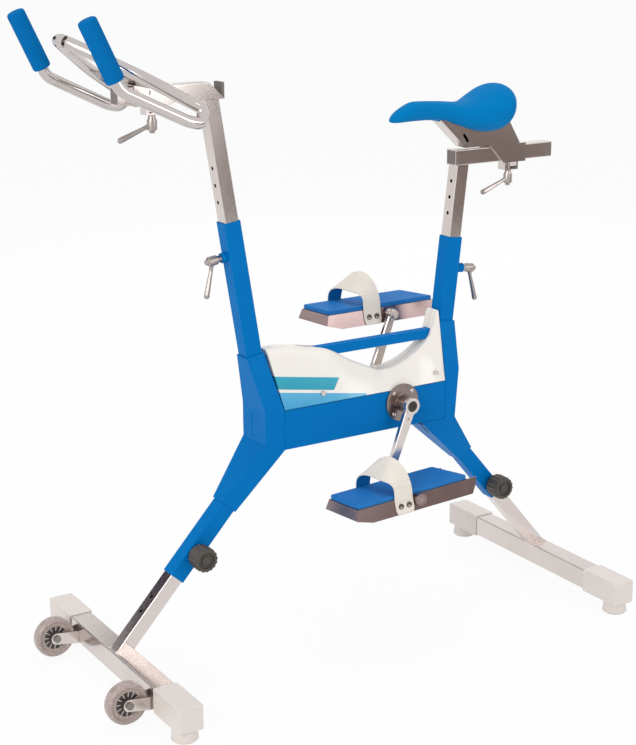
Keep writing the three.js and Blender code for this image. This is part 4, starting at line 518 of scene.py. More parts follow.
white_cover = striped_white()
SHELL_WALL, SLOT_MIDDLE, SLOT_SIZE = 0.0025, (100, 0, 606), Vector((0.6, 0.022, 0.022))
slot_box = bmesh.new()
bmesh.ops.create_cube(slot_box, size=1.0)
for corner in slot_box.verts:
    corner.co = at(*SLOT_MIDDLE) + corner.co * SLOT_SIZE
brace_slot = new_piece("brace_slot", slot_box)
for side_name, side in (("left", -1), ("right", 1)):
    stations = [k / 64 for k in range(62)] + [0.975, 0.984, 0.992, 1.0]
    rows = [cover_section(share, side) for share in stations]
    shell = skinned(rows, closed_ring=False)
    shell.verts.ensure_lookup_table()
    width = len(rows[0])
    end_rings = [[shell.verts[end * width + k] for k in range(width)] for end in (0, len(rows) - 1)]
    for ring in end_rings:
        foot = shell.verts.new((ring[0].co.x, side * 0.0005, ring[0].co.z))
        shell.faces.new([*ring, foot])
    cover = new_piece("cover_shell_" + side_name, shell, white_cover)
    if sum(face.area * (face.normal.y * side + face.normal.z) for face in cover.data.polygons) < 0:
        cover.data.flip_normals()
    wall = cover.modifiers.new("wall", "SOLIDIFY")
    wall.thickness, wall.offset = SHELL_WALL, -1
    cut = cover.modifiers.new("slot", "BOOLEAN")
    cut.object, cut.operation, cut.solver = brace_slot, "DIFFERENCE", "EXACT"
    sharpened(flattened(cover), 45)
    seated(cover, "cover_" + side_name, "white_cover")
bpy.data.objects.remove(brace_slot)
for name in (
    "cover_screw_left_front", "cover_screw_left_rear", "cover_screw_right_front", "cover_screw_right_rear",
):
    dressed(name, stainless, "stainless", edge=0.0006)

# Crank: turned stainless flanges bolted to the beam, a pressed-in axle, two forged arms with
# black dust caps, and the pedal spindles screwed through their eyes.
def tree_of(name, inputs):
    """An empty geometry tree with named inputs, and its two end nodes."""
    group = bpy.data.node_groups.new(name, "GeometryNodeTree")
    group.interface.new_socket("Geometry", in_out="INPUT", socket_type="NodeSocketGeometry")
    for label, kind, value in inputs:
        socket = group.interface.new_socket(label, in_out="INPUT", socket_type=kind)
        if value is not None:
            socket.default_value = value
    group.interface.new_socket("Geometry", in_out="OUTPUT", socket_type="NodeSocketGeometry")
    return group, group.nodes.new("NodeGroupInput"), group.nodes.new("NodeGroupOutput")


def ended(group, given, made, shape):
    """A tree closed off: its instances made real, and the given material set on them."""
    real, coat = group.nodes.new("GeometryNodeRealizeInstances"), group.nodes.new("GeometryNodeSetMaterial")
    group.links.new(shape, real.inputs[0])
    group.links.new(real.outputs[0], coat.inputs["Geometry"])
    group.links.new(given.outputs["Finish"], coat.inputs["Material"])
    group.links.new(coat.outputs[0], made.inputs[0])
    return group


def ring_tree():
    """Copies of the start mesh round the Y axis, each turned to face outward."""
    group, given, made = tree_of("ring_of_copies", (
        ("Count", "NodeSocketInt", 4), ("Circle Radius", "NodeSocketFloat", 0.031),
        ("Start Angle", "NodeSocketFloat", 0.0), ("Finish", "NodeSocketMaterial", None),
    ))
    nodes, links = group.nodes, group.links
    reckon = reckoner(group)
    dots, order = nodes.new("GeometryNodePoints"), nodes.new("GeometryNodeInputIndex")
    out, place = nodes.new("ShaderNodeCombineXYZ"), nodes.new("ShaderNodeVectorMath")
    place.operation = "SCALE"
    angle, copies = nodes.new("ShaderNodeCombineXYZ"), nodes.new("GeometryNodeInstanceOnPoints")
    links.new(given.outputs["Count"], dots.inputs["Count"])
    turn = reckon("MULTIPLY", reckon("DIVIDE", order.outputs[0], given.outputs["Count"]), 2 * pi)
    lean = reckon("ADD", turn, given.outputs["Start Angle"])
    links.new(reckon("SINE", lean), out.inputs["X"])
    links.new(reckon("COSINE", lean), out.inputs["Z"])
    links.new(out.outputs[0], place.inputs[0])
    links.new(given.outputs["Circle Radius"], place.inputs["Scale"])
    links.new(place.outputs[0], dots.inputs["Position"])
    links.new(lean, angle.inputs["Y"])
    links.new(dots.outputs[0], copies.inputs["Points"])
    links.new(given.outputs["Geometry"], copies.inputs["Instance"])
    links.new(angle.outputs[0], copies.inputs["Rotation"])
    return ended(group, given, made, copies.outputs[0])


def grown(piece, group, **values):
    """The piece with a tree's result as its plain mesh."""
    shape = piece.modifiers.new("shape", "NODES")
    shape.node_group = group
    for item in group.interface.items_tree:
        label = item.name.replace(" ", "_")
        if item.item_type == "SOCKET" and item.in_out == "INPUT" and label in values:
            shape[item.identifier] = values[label]
    piece.data.update()
    bpy.context.view_layer.update()
    return flattened(piece)


MERGE_GAP = 1e-6


def lathe(profile, steps, side=1, closed=False):
    """A bmesh turned about Y from (radius, y) in millimetres; a point on the axis is a pole."""
    turned = bmesh.new()
    rows = []
    for radius, y in profile:
        radius, y = radius / 1000, side * y / 1000
        if radius < MERGE_GAP:
            rows.append([turned.verts.new((0, y, 0))])
        else:
            rows.append([
                turned.verts.new((radius * sin(2 * pi * k / steps), y, radius * cos(2 * pi * k / steps)))
                for k in range(steps)
            ])
    for low, high in zip(rows, rows[1:]):
        for k in range(steps):
            n = (k + 1) % steps
            around = [low[k % len(low)], low[n % len(low)], high[n % len(high)], high[k % len(high)]]
            corners = list(dict.fromkeys(around))
            if len(corners) > 2:
                turned.faces.new(corners)
    if closed:
        bmesh.ops.remove_doubles(turned, verts=turned.verts, dist=MERGE_GAP)
    return turned


ring_of_copies = ring_tree()
# the flanges' stainless, its colour painted about half as bright as the polished stainless: painted shade in
# its reflections
turned_steel = finish(
    "turned_steel", (0.34, 0.275, 0.255), (0.22, 0.18, 0.17), 0.24, 0.12, 300, 0.00001,
    metallic=1.0, stretch=(1, 8, 1), patch=20,
)
CRANK_X, CRANK_Z, SCREW_CIRCLE = 182, 481.5, 0.031
CRANK = at(CRANK_X, 0, CRANK_Z)
FLANGE = (
    (17.8, 24), (22.0, 24), (22.5, 24.5), (22.5, 45.3), (38.9, 45.3), (39.5, 45.9), (39.5, 49.0), (38.7, 49.8),
    (19.5, 49.8), (17.9, 50.4), (17.5, 51.6), (17.5, 69.2), (16.7, 70), (9.5, 70), (9.5, 35.3), (17.8, 35.3),
    (17.8, 24),
)
SOCKET_HEAD = ((0, 49.6), (4.0, 49.6), (4.0, 50.9), (3.4, 51.7), (1.9, 51.9), (1.8, 50.6), (0, 50.6))
for side_name, side in (("left", -1), ("right", 1)):
    flange = lathe(FLANGE, 64, side, closed=True)
    flange.transform(Matrix.Translation(CRANK))
    piece = sharpened(new_piece("flange_" + side_name, flange, turned_steel), 50)
    seated(piece, "crank_flange_" + side_name, "stainless")
    head = lathe(SOCKET_HEAD, 18, side)
    screws = new_piece("flange_screws_" + side_name, head, stainless)
    grown(screws, ring_of_copies, Count=4, Circle_Radius=SCREW_CIRCLE, Start_Angle=pi / 4, Finish=stainless)
    screws.data.transform(Matrix.Translation(CRANK))
    sharpened(screws, 50)
    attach(screws, "frame")
for name in ("crank_axle", "crank_arm_left", "crank_arm_right", "pedal_spindle_left", "pedal_spindle_right"):
    dressed(name, stainless, "stainless", edge=0.0007)
dark_steel = finish("dark_steel", (0.30, 0.28, 0.27), (0.22, 0.20, 0.19), 0.3, 0.1, 300, 0.00001, metallic=1.0)
for name in ("crank_bearing_left", "crank_bearing_right", "wheel_bolt_left", "wheel_bolt_right"):
    dressed(name, dark_steel, "dark_steel", edge=0.0004)
cap_black = finish("black_nylon", (0.022, 0.018, 0.015), (0.035, 0.028, 0.024), 0.42, 0.1, 500, 0.00003)
for name in ("crank_cap_left", "crank_cap_right"):
    dressed(name, cap_black, "knob_plastic", edge=0.0003)

# Pedals: a folded stainless tray that scoops water, a cut foam pad glued on it, and a moulded
# instep strap, cream outside and blue inside, screwed to both walls of the tray.
# the trays' and collars' stainless, its colour painted about half as bright as the polished stainless: painted
# shade in its reflections
tray_steel = finish(
    "tray_steel", (0.37, 0.275, 0.27), (0.29, 0.215, 0.21), 0.24, 0.12, 240, 0.000006,
    metallic=1.0, stretch=(1, 12, 12), patch=10,
)
for name in ("pedal_tray_left", "pedal_tray_right"):
    dressed(name, tray_steel, "stainless", edge=0.0004)
pad_foam = finish(
    "pad_foam", (0.016, 0.18, 0.51), (0.010, 0.155, 0.455), 0.6, 0.1, 1800, 0.0002,
    patch=40, Specular_IOR_Level=0.2,
)
strap_cream = finish(
    "strap_cream", (0.83, 0.765, 0.675), (0.79, 0.715, 0.62), 0.5, 0.1, 1200, 0.0001,
    stretch=(3, 1, 1), patch=30,
)
spotted(strap_cream, 330, 0.27, (0.60, 0.53, 0.45, 1))
strap_blue = finish(
    "strap_lining", (0.0, 0.15, 0.42), (0.0, 0.13, 0.37), 0.7, 0.1, 1500, 0.0001, Specular_IOR_Level=0.2,
)
screw_dark = finish(
    "strap_screws", (0.16, 0.13, 0.11), (0.10, 0.08, 0.07), 0.4, 0.1, 600, 0.00002, metallic=1.0,
)
CRANK_LENGTH, CRANK_ANGLE, PEDAL_OUT = 165, 21, 146
PAD_HALF, PAD_REACH, PAD_CORNER, CORNER_STEPS = 41.5, 150, 4.5, 6
PAD_CORNERS = ((-141, -PAD_HALF), (123, -PAD_HALF), (97, PAD_HALF), (-153, PAD_HALF))
# how far each ring of the pad lies inside its outline, and its height; the first and last few
# rings shrink toward the middle instead
PAD_RIM = (
    (26, 10), (10, 10), (0.6, 10), (0, 10.6), (0, 16.6), (0.3, 17.8), (1.1, 18.65), (2.4, 19.0), (8, 19.0),
    (16, 19.0), (28, 19.0), (38, 19.0),
)
SHRINK_FROM = 3
# the strap: its front and rear edge at its left and right end, the tray's wall and lean that
# its ends follow, and the arch over the foot
STRAP_LEFT, STRAP_RIGHT, STRAP_THICK = (-57, -14), (-89, -56), 2.6
TRAY_WALL, STRAP_PLAY, TRAY_LEAN, TRAY_DEPTH, WALL_START = 1.6, 0.3, 8, 31, 1.7
ARCH_STEPS, END_STEPS, END_STEP, ACROSS_STEPS = 48, 6, 5.0, 12
ARCH_FOOT, ARCH_FRONT, ARCH_REAR, FRONT_ROUND = 8, 38.5, 75, 0.4
NARROW_FROM, NARROW_SHARE = 20, 0.35
STRAP_SCREW_Z, STRAP_SCREW_DOWN, STRAP_SCREW_SHARES = -5.5, 14.5, (0.28, 0.72)
STRAP_SCREW = (
    (0, -0.8), (6.4, -0.8), (6.4, 0.4), (5.9, 1.2), (4.6, 1.7), (3.4, 1.7), (3.2, 1.4), (3.2, 0.4), (0, 0.4),
)
BOSS_COLLAR = (
    (9.5, 49), (12.4, 49), (12.6, 55.6), (12.1, 56.6), (10.8, 56.9), (9.8, 56.5), (9.5, 55.4), (7.4, 55.2),
    (7.0, 56.8), (6.2, 57.2), (0, 57.2),
)


def rounding(before, here, after, reach, steps):
    """The points that round one corner, from reach before it to reach after it."""
    enter, leave = here + (before - here).normalized() * reach, here + (after - here).normalized() * reach
    shares = [j / steps for j in range(steps + 1)]
    return [(1 - t) ** 2 * enter + 2 * t * (1 - t) * here + t * t * leave for t in shares]


for side_name, side, pitch in (("left", -1, 2.9), ("right", 1, 0.2)):
    swing = radians(CRANK_ANGLE) + (0 if side < 0 else pi)
    axle = at(CRANK_X - CRANK_LENGTH * sin(swing), side * PEDAL_OUT, CRANK_Z - CRANK_LENGTH * cos(swing))
    seat = Matrix.Translation(axle) @ Matrix.Rotation(-radians(pitch), 4, "Y")
    outline = [Vector(corner) for corner in PAD_CORNERS]
    rounded = []
    for k, here in enumerate(outline):
        rounded += rounding(outline[k - 1], here, outline[(k + 1) % len(outline)], PAD_CORNER, CORNER_STEPS)
    centre = sum(rounded, Vector((0, 0))) / len(rounded)
    rings = []
    for inset, z in PAD_RIM:
        ring = []
        for p in rounded:
            shrunk = Vector((p.x * (1 - inset / PAD_REACH), p.y * (1 - inset / PAD_HALF)))
            spot = shrunk if inset > SHRINK_FROM else p + (centre - p).normalized() * inset
            ring.append((spot.x / 1000, spot.y / 1000, z / 1000))
        rings.append(ring)
    pad = skinned(rings, ends=(0, len(rings) - 1))
    pad.transform(seat)
    pad = new_piece("foam_pad_" + side_name, pad, pad_foam)
    seated(sharpened(pad, 60), "pedal_pad_" + side_name, "pad_foam")

    rows = []
    for k in range(-END_STEPS, ARCH_STEPS + END_STEPS + 1):
        angle = min(max(k, 0), ARCH_STEPS) / ARCH_STEPS * pi
        drop = (-k if k < 0 else max(k - ARCH_STEPS, 0)) * END_STEP
        across = (1 - cos(angle)) / 2
        front_x, rear_x = (a + (b - a) * across for a, b in zip(STRAP_LEFT, STRAP_RIGHT))
        span = PAD_HALF + TRAY_WALL + STRAP_PLAY + TRAY_LEAN * (WALL_START + drop) / TRAY_DEPTH
        row = []
        for j in range(ACROSS_STEPS + 1):
            t = j / ACROSS_STEPS
            x = front_x + (rear_x - front_x) * t
            if drop > NARROW_FROM:
                x += (1 - 2 * t) * (drop - NARROW_FROM) * NARROW_SHARE
            out, up = cos(angle), max(sin(angle), 0)
            y = -span * ((1 - t) * abs(out) ** FRONT_ROUND + t * abs(out)) * (1 if out > 0 else -1)
            z = ARCH_FOOT + (1 - t) * ARCH_FRONT * up ** FRONT_ROUND + t * ARCH_REAR * up - drop
            row.append(seat @ (Vector((x, y, z)) / 1000))
        rows.append(row)
    band = bmesh.new()
    grid = [[band.verts.new(p) for p in row] for row in rows]
    for i in range(len(grid) - 1):
        for j in range(ACROSS_STEPS):
            band.faces.new((grid[i][j], grid[i + 1][j], grid[i + 1][j + 1], grid[i][j + 1]))
    strap = new_piece("instep_strap_" + side_name, band, strap_cream, strap_blue)
    if sum(face.area * face.normal.z for face in strap.data.polygons) < 0:
        strap.data.flip_normals()
    thick = strap.modifiers.new("thickness", "SOLIDIFY")
    thick.thickness, thick.offset, thick.material_offset = STRAP_THICK / 1000, 1, 1
    soft = strap.modifiers.new("soft_rim", "BEVEL")
    soft.width, soft.segments, soft.limit_method, soft.angle_limit = 0.0008, 2, "ANGLE", radians(50)
    sharpened(flattened(strap), 60)
    seated(strap, "pedal_strap_" + side_name, "strap_rubber")
    bolts = bmesh.new()
    for wall in (-1, 1):
        for t in STRAP_SCREW_SHARES:
            front_x, rear_x = STRAP_LEFT if wall < 0 else STRAP_RIGHT
            bolt = lathe(STRAP_SCREW, 24)
            if wall < 0:
                bolt.transform(Matrix.Rotation(pi, 4, "Z"))
            x = front_x + (rear_x - front_x) * t
            y = PAD_HALF + TRAY_WALL + STRAP_PLAY + STRAP_THICK + TRAY_LEAN * STRAP_SCREW_DOWN / TRAY_DEPTH
            bolt.transform(Matrix.Translation(Vector((x, wall * y, STRAP_SCREW_Z)) / 1000))
            spare = bpy.data.meshes.new("spare")
            bolt.to_mesh(spare)
            bolt.free()
            bolts.from_mesh(spare)
            bpy.data.meshes.remove(spare)
    bolts.transform(seat)
    bolts = sharpened(new_piece("strap_screws_" + side_name, bolts, screw_dark), 50)
    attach(bolts, frame["nodes"]["pedal_tray_" + side_name]["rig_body"])
    collar = lathe(BOSS_COLLAR, 40, side)
    collar.transform(seat)
    collar = sharpened(new_piece("boss_collar_" + side_name, collar, tray_steel), 50)
    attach(collar, frame["nodes"]["pedal_tray_" + side_name]["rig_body"])

# Handlebar: one stainless tube bent from grip to grip round a narrow front loop, with closed-
# cell foam sleeves pushed over its two upright ends.
def tube_tree():
    """A round tube along the start mesh's line."""
    group, given, made = tree_of("bent_tube", (
        ("Tube Radius", "NodeSocketFloat", 0.011), ("Sides", "NodeSocketInt", 32),
        ("Finish", "NodeSocketMaterial", None),
    ))
    nodes, links = group.nodes, group.links
    line, section, sweep, smooth = (nodes.new("GeometryNode" + kind) for kind in (
        "MeshToCurve", "CurvePrimitiveCircle", "CurveToMesh", "SetShadeSmooth",
    ))
    sweep.inputs["Fill Caps"].default_value = True
    links.new(given.outputs["Geometry"], line.inputs[0])
    links.new(given.outputs["Tube Radius"], section.inputs["Radius"])
    links.new(given.outputs["Sides"], section.inputs["Resolution"])
    links.new(line.outputs[0], sweep.inputs["Curve"])
    links.new(section.outputs[0], sweep.inputs["Profile Curve"])
    links.new(sweep.outputs[0], smooth.inputs[0])
    return ended(group, given, made, smooth.outputs[0])


bent_tube = tube_tree()
HALF_BAR = (
    ((-531, 157, 1280), 0), ((-477, 158, 1164), 15), ((-352, 166, 1104), 13), ((-326, 165, 1099), 13),
    ((-318, 152, 1124), 13), ((-346, 148, 1138.6), 13), ((-408, 120, 1176.2), 30), ((-498, 34, 1230.8), 22),
    ((-520, 0, 1244), 22),
)
BAR_RADIUS, BAR_SIDES, BEND_POINTS, CLOSEST = 0.011, 32, 12, 0.4
corners = [(Vector((x, -y, z)), bend) for (x, y, z), bend in HALF_BAR]
corners += [(Vector((x, y, z)), bend) for (x, y, z), bend in reversed(HALF_BAR[:-1])]
route = [corners[0][0]]
for (before, _), (here, bend), (after, _) in zip(corners, corners[1:], corners[2:]):
    for spot in rounding(before, here, after, bend, BEND_POINTS):
        if (spot - route[-1]).length > CLOSEST:
            route.append(spot)
route.append(corners[-1][0])
bar_line = bpy.data.meshes.new("handlebar_line")
bar_line.from_pydata([at(*p) for p in route], [(k, k + 1) for k in range(len(route) - 1)], [])
bar = bpy.data.objects.new("bent_handlebar", bar_line)
scene.collection.objects.link(bar)
bright_tube = finish(
    "polished_tube", (0.62, 0.575, 0.555), (0.50, 0.46, 0.45), 0.11, 0.08, 260, 0.000004,
    metallic=1.0, patch=9,
)
grown(bar, bent_tube, Tube_Radius=BAR_RADIUS, Sides=BAR_SIDES, Finish=bright_tube)
seated(sharpened(bar, 60), "handlebar_tube", "stainless")

grip_foam = finish(
    "grip_foam", (0.001, 0.155, 0.43), (0.001, 0.135, 0.385), 0.8, 0.1, 1500, 0.0003,
    patch=40, Specular_IOR_Level=0.05,
)
GRIP_BORE, GRIP_RADIUS, GRIP_LOW, GRIP_FLANK, FLANK_STEPS = 11.4, 17, -110, 104, 12
GRIP_FOOT = ((GRIP_BORE, GRIP_LOW), (14.2, GRIP_LOW), (15.6, -109.4), (16.5, -108), (GRIP_RADIUS, -105.5))
GRIP_HEAD = (
    (GRIP_RADIUS, -3), (16.6, -0.2), (15.4, 1.9), (13.4, 2.9), (10.6, 3.3), (5, 3.3), (0, 3.3), (0, 0.2),
    (GRIP_BORE, 0.2), (GRIP_BORE, GRIP_LOW),
)
grip_profile = [*GRIP_FOOT]
for k in range(1, FLANK_STEPS):
    grip_profile.append((GRIP_RADIUS, GRIP_FOOT[-1][1] + GRIP_FLANK * k / FLANK_STEPS))
grip_profile += GRIP_HEAD
for side_name, side in (("left", -1), ("right", 1)):
    top, elbow = (Vector((x, side * y, z)) for (x, y, z), _ in HALF_BAR[:2])
    sleeve = lathe(grip_profile, 40, closed=True)
    aim = Vector((0, 1, 0)).rotation_difference(top - elbow).to_matrix().to_4x4()
    sleeve.transform(Matrix.Translation(at(*top)) @ aim)
    grip = new_piece("foam_grip_" + side_name, sleeve, grip_foam)
    seated(sharpened(grip, 50), "grip_" + side_name, "grip_foam")

# Saddle: an integral-skin foam moulding over a hidden shell, with a pointed nose, a low
# waist and a high rear hump.
saddle_skin = finish(
    "saddle_skin", (0.0, 0.192, 0.48), (0.0, 0.176, 0.445), 0.55, 0.1, 900, 0.0001,
    patch=25, Specular_IOR_Level=0.04,
)
# sections from nose to tail, as shares of the length, of the height (top, low) and of the half width
SADDLE = (
    (0, 0.37, 0.345, 0.06), (0.025, 0.48, 0.33, 0.17), (0.068, 0.575, 0.325, 0.235), (0.12, 0.66, 0.33, 0.27),
    (0.193, 0.735, 0.335, 0.295), (0.304, 0.725, 0.335, 0.325), (0.436, 0.7, 0.275, 0.39),
    (0.571, 0.665, 0.148, 0.56),
    (0.668, 0.7, 0.06, 0.75), (0.732, 0.78, 0.02, 0.87), (0.804, 0.885, 0, 0.965), (0.857, 0.96, 0.02, 1),
    (0.904, 1, 0.085, 0.92), (0.943, 0.985, 0.22, 0.76), (0.975, 0.92, 0.4, 0.58), (0.996, 0.8, 0.6, 0.3),
)
SADDLE_NOSE, SADDLE_LOW, SADDLE_LENGTH, SADDLE_HALF, SADDLE_HEIGHT = 180, 1016, 288, 80, 98
SADDLE_STEPS, SADDLE_SIDES = 56, 48
rings = []
for k in range(SADDLE_STEPS + 1):
    share = k / SADDLE_STEPS * SADDLE[-1][0]
    top, low, wide = between(SADDLE, share)
    ring = []
    for j in range(SADDLE_SIDES):
        angle = 2 * pi * j / SADDLE_SIDES
        z = (top + low) / 2 + (top - low) / 2 * sin(angle)
        y = wide * SADDLE_HALF * cos(angle)
        ring.append(at(SADDLE_NOSE + share * SADDLE_LENGTH, y, SADDLE_LOW + z * SADDLE_HEIGHT))
    rings.append(ring)
saddle = skinned(rings, ends=(0, len(rings) - 1))
saddle = new_piece("moulded_saddle", saddle, saddle_skin)
relax = saddle.modifiers.new("soft_form", "SMOOTH")
relax.factor, relax.iterations = 0.5, 3
fine = saddle.modifiers.new("fine_surface", "SUBSURF")
fine.levels = fine.render_levels = 1
flattened(saddle)
seated(saddle, "saddle", "saddle_skin")

# Rail plugs: thin grey nylon plugs pressed into both open ends of the two rails, a little
# inside the tube's rim.
plug_grey = finish("plug_nylon", (0.20, 0.175, 0.16), (0.15, 0.13, 0.12), 0.5, 0.1, 600, 0.00003)
PLUG_INSET, PLUG_CORNER, CORNER_POINTS = 0.0035, 0.0025, 3
PLUG_DEPTHS = (0.0004, 0.006)
for rail, body in (("handlebar_rail", "front_post"), ("saddle_rail", "rear_post")):
    node = frame["nodes"][rail]
    corners = [node.matrix_world @ v.co for v in node.data.vertices]
    low = [min(c[k] for c in corners) for k in range(3)]
    high = [max(c[k] for c in corners) for k in range(3)]
    plugs = bmesh.new()
    for end, out in ((low[0], 1), (high[0], -1)):
        half = (high[1] - low[1]) / 2
        ring = []
        for k, (y, z) in enumerate(((1, 1), (-1, 1), (-1, -1), (1, -1))):
            middle = Vector((0, (half - PLUG_INSET) * y, (half - PLUG_INSET) * z))
            for j in range(CORNER_POINTS + 1):
                turn = pi / 2 * (k + j / CORNER_POINTS)
                ring.append(middle + PLUG_CORNER * Vector((0, cos(turn), sin(turn))))
        shift = Vector((end, 0, high[2] - half))
        rows = [
            [plugs.verts.new(shift + p + Vector((out * depth, 0, 0))) for p in ring] for depth in PLUG_DEPTHS
        ]
        for k in range(len(ring)):
            n = (k + 1) % len(ring)
            plugs.faces.new((rows[0][k], rows[0][n], rows[1][n], rows[1][k]))
        plugs.faces.new(rows[0])
        plugs.faces.new(rows[1])
    plugs = sharpened(new_piece(rail + "_plugs", plugs, plug_grey), 50)
    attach(plugs, body)

# Clamp levers: cast steel levers on threaded studs, one at each post and each rail. Each
# stud is screwed through a boss or a bracket toward the tube that it holds.
cast_steel = finish(
    "cast_steel", (0.46, 0.41, 0.39), (0.34, 0.30, 0.285), 0.28, 0.15, 500, 0.00004, metallic=1.0, patch=60,
)
for name in ("front_post_lever", "rear_post_lever", "handlebar_lever", "saddle_lever"):
    dressed(name, cast_steel, "stainless", edge=0.0006)

# Leg knobs: glass-filled nylon hand knobs with a fluted rim, a dished end and a centre button,
# on a steel stud.
knob_plastic = finish(
    "knob_nylon", (0.075, 0.06, 0.048), (0.05, 0.04, 0.032), 0.5, 0.12, 700, 0.00008, patch=60,
)


def flute_tree():
    """Pushes a turned rim inward between evenly spaced ridges."""
    group, given, made = tree_of("fluted_rim", (
        ("Flutes", "NodeSocketInt", 16), ("Flute Depth", "NodeSocketFloat", 0.0016),
        ("Rim Radius", "NodeSocketFloat", 0.0225), ("Finish", "NodeSocketMaterial", None),
    ))
    nodes, links, reckon = group.nodes, group.links, reckoner(group)
    ridge_shape, half_turn, least = 1.6, 0.5, 1e-6
    spot, axes = nodes.new("GeometryNodeInputPosition"), nodes.new("ShaderNodeSeparateXYZ")
    links.new(spot.outputs[0], axes.inputs[0])
    across, deep = axes.outputs["X"], axes.outputs["Z"]
    angle = reckon("ARCTAN2", across, deep)
    phase = reckon("MULTIPLY", reckon("MULTIPLY", angle, given.outputs["Flutes"]), half_turn)
    wave = reckon("POWER", reckon("ABSOLUTE", reckon("SINE", phase)), ridge_shape)
    radius = reckon("SQRT", reckon("ADD", reckon("MULTIPLY", across, across), reckon("MULTIPLY", deep, deep)))
    rim = reckon("GREATER_THAN", radius, given.outputs["Rim Radius"])
    push = reckon("MULTIPLY", reckon("MULTIPLY", wave, given.outputs["Flute Depth"]), rim)
    scale = reckon("DIVIDE", reckon("MULTIPLY", push, -1.0), reckon("MAXIMUM", radius, least))
    inward, moved = nodes.new("ShaderNodeCombineXYZ"), nodes.new("GeometryNodeSetPosition")
    links.new(reckon("MULTIPLY", across, scale), inward.inputs["X"])
    links.new(reckon("MULTIPLY", deep, scale), inward.inputs["Z"])
    links.new(given.outputs["Geometry"], moved.inputs["Geometry"])
    links.new(inward.outputs[0], moved.inputs["Offset"])
    return ended(group, given, made, moved.outputs[0])


fluted_rim = flute_tree()
KNOB = (
    (0, 15.3), (5, 15.3), (5, 21.8), (19.5, 21.8), (23.2, 22.4), (24.6, 24.0), (25, 26), (25, 31), (25, 36),
    (25, 41), (25, 46), (25, 51), (25, 53.4), (24.5, 55.4), (23.2, 57), (21, 57.8), (17.6, 57.8), (16.6, 57.2),
    (16.0, 56), (15.8, 53.4), (15.2, 52.8), (10.2, 52.8), (9.6, 53.2), (9.5, 54), (9.3, 55), (8.4, 55.3),
    (4, 55.3), (0, 55.3),
)
KNOB_SIDES, FLUTES, FLUTE_DEPTH, RIM_RADIUS, STUD_ASIDE = 128, 16, 0.0017, 0.0228, -6
for name, x, z, turn, along in (
    ("front_leg_knob", -331, 196, -137.3, 62), ("rear_leg_knob", 460, 220, 139.8, 24),
):
    grip = lathe(KNOB, KNOB_SIDES, -1)
    knob = new_piece(name + "_fluted", grip, knob_plastic)
    grown(knob, fluted_rim, Flutes=FLUTES, Flute_Depth=FLUTE_DEPTH, Rim_Radius=RIM_RADIUS, Finish=knob_plastic)
    leg = Matrix.Translation(at(x, 0, z)) @ Matrix.Rotation(radians(turn), 4, "Y")
    knob.data.transform(leg @ Matrix.Translation(Vector((STUD_ASIDE, 0, -along)) / 1000))
    seated(sharpened(knob, 50), name, "knob_plastic")

# Foot caps: cream polypropylene mouldings pushed over the ends of both base tubes, each with
# a round levelling foot below.
cream = finish(
    "cream_polypropylene", (0.78, 0.705, 0.65), (0.74, 0.66, 0.605), 0.4, 0.1, 700, 0.00006, patch=18,
)
for name in ("front_foot_cap_left", "front_foot_cap_right", "rear_foot_cap_left", "rear_foot_cap_right"):
    dressed(name, cream, "cream_plastic", edge=0.0026)

# Wheels: clear urethane tyres with small pale spots, bubbles with a painted highlight, cast on a
# hub with pale spokes; the hub is painted dark as the shade in the windows between the spokes.
# They turn on bolts in the front forks, for tipping the bike on its nose.
tyre_clear = finish(
    "clear_urethane", (0.46, 0.36, 0.325), (0.36, 0.28, 0.25), 0.22, 0.1, 300, 0.00004,
    patch=55, coat=0.3, Coat_Roughness=0.08,
)
# pale spots on the tyre: bubbles in the urethane, their pale colour a painted highlight
spotted(tyre_clear, 150, 0.24, (0.60, 0.50, 0.46, 1), randomness=0.9)
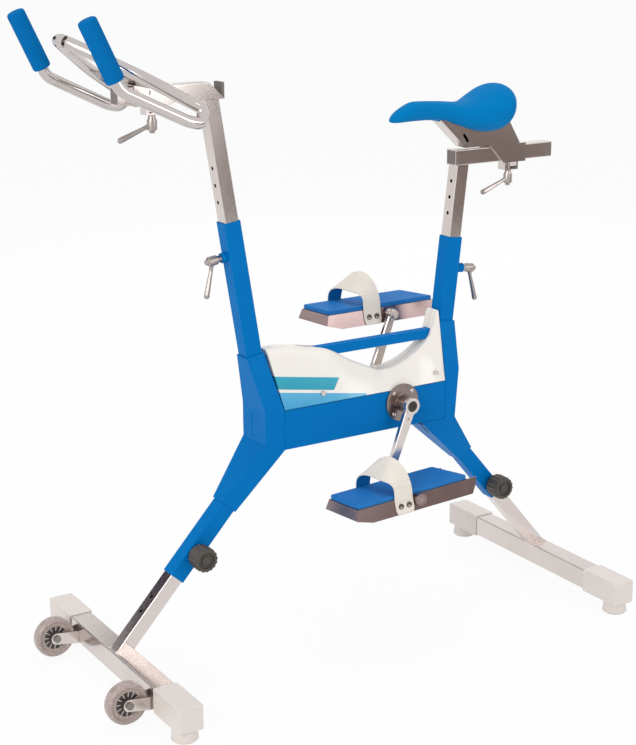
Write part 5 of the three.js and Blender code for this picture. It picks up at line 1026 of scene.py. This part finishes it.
# the hub's dark colour is painted shade, for the shaded windows between the spokes
hub_painted_shade = finish("wheel_hub", (0.055, 0.045, 0.04), (0.035, 0.03, 0.028), 0.45, 0.1, 500, 0.00003)
hub_pale = finish("wheel_spokes", (0.60, 0.52, 0.48), (0.50, 0.43, 0.40), 0.35, 0.1, 500, 0.00003)
WHEEL_X, WHEEL_OUT, WHEEL_Z = -519.5, 169, 48.5
HALF_TYRE = (
    (24, 8.2), (29.5, 8.2), (31, 8.8), (32.5, 10.6), (34, 11.8), (36, 12), (38.6, 11.2), (40.4, 8.8),
    (41.3, 5.2), (41.5, 0),
)
TYRE = (*HALF_TYRE, *((r, -y) for r, y in reversed(HALF_TYRE[:-1])), HALF_TYRE[0])
HUB = (
    (4.5, 12), (12.2, 12), (13, 11.4), (13.4, 6.6), (23.9, 6.6), (23.9, -6.6), (13.4, -6.6), (13, -11.4),
    (12.2, -12), (4.5, -12), (4.5, 12),
)
SPOKE_SIZE, SPOKE_FOOT, SPOKE_EDGE, SPOKES, SPOKE_CIRCLE = (0.0026, 0.0158, 0.0108), 0.6, 0.0005, 12, 0.0187
for side_name, side in (("left", -1), ("right", 1)):
    centre = Matrix.Translation(at(WHEEL_X, side * WHEEL_OUT, WHEEL_Z))
    tyre = lathe(TYRE, 72, closed=True)
    tyre.transform(centre)
    tyre = new_piece("tyre_" + side_name, tyre, tyre_clear)
    seated(sharpened(tyre, 60), "wheel_" + side_name, "wheel_plastic")
    body = frame["nodes"]["wheel_" + side_name]["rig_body"]
    hub = lathe(HUB, 48, closed=True)
    hub.transform(centre)
    hub = sharpened(new_piece("hub_" + side_name, hub, hub_painted_shade), 50)
    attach(hub, body)
    spoke = bmesh.new()
    bmesh.ops.create_cube(spoke, size=1.0)
    for corner in spoke.verts:
        wide, deep, high = SPOKE_SIZE
        grow = 1.0 if corner.co.z > 0 else SPOKE_FOOT
        corner.co = Vector((corner.co.x * wide * grow, corner.co.y * deep, corner.co.z * high))
    bmesh.ops.bevel(spoke, geom=spoke.edges[:], offset=SPOKE_EDGE, segments=2, affect="EDGES")
    spokes = new_piece("spokes_" + side_name, spoke, hub_pale)
    grown(spokes, ring_of_copies, Count=SPOKES, Circle_Radius=SPOKE_CIRCLE, Start_Angle=0.1, Finish=hub_pale)
    spokes.data.transform(centre)
    sharpened(spokes, 50)
    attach(spokes, body)
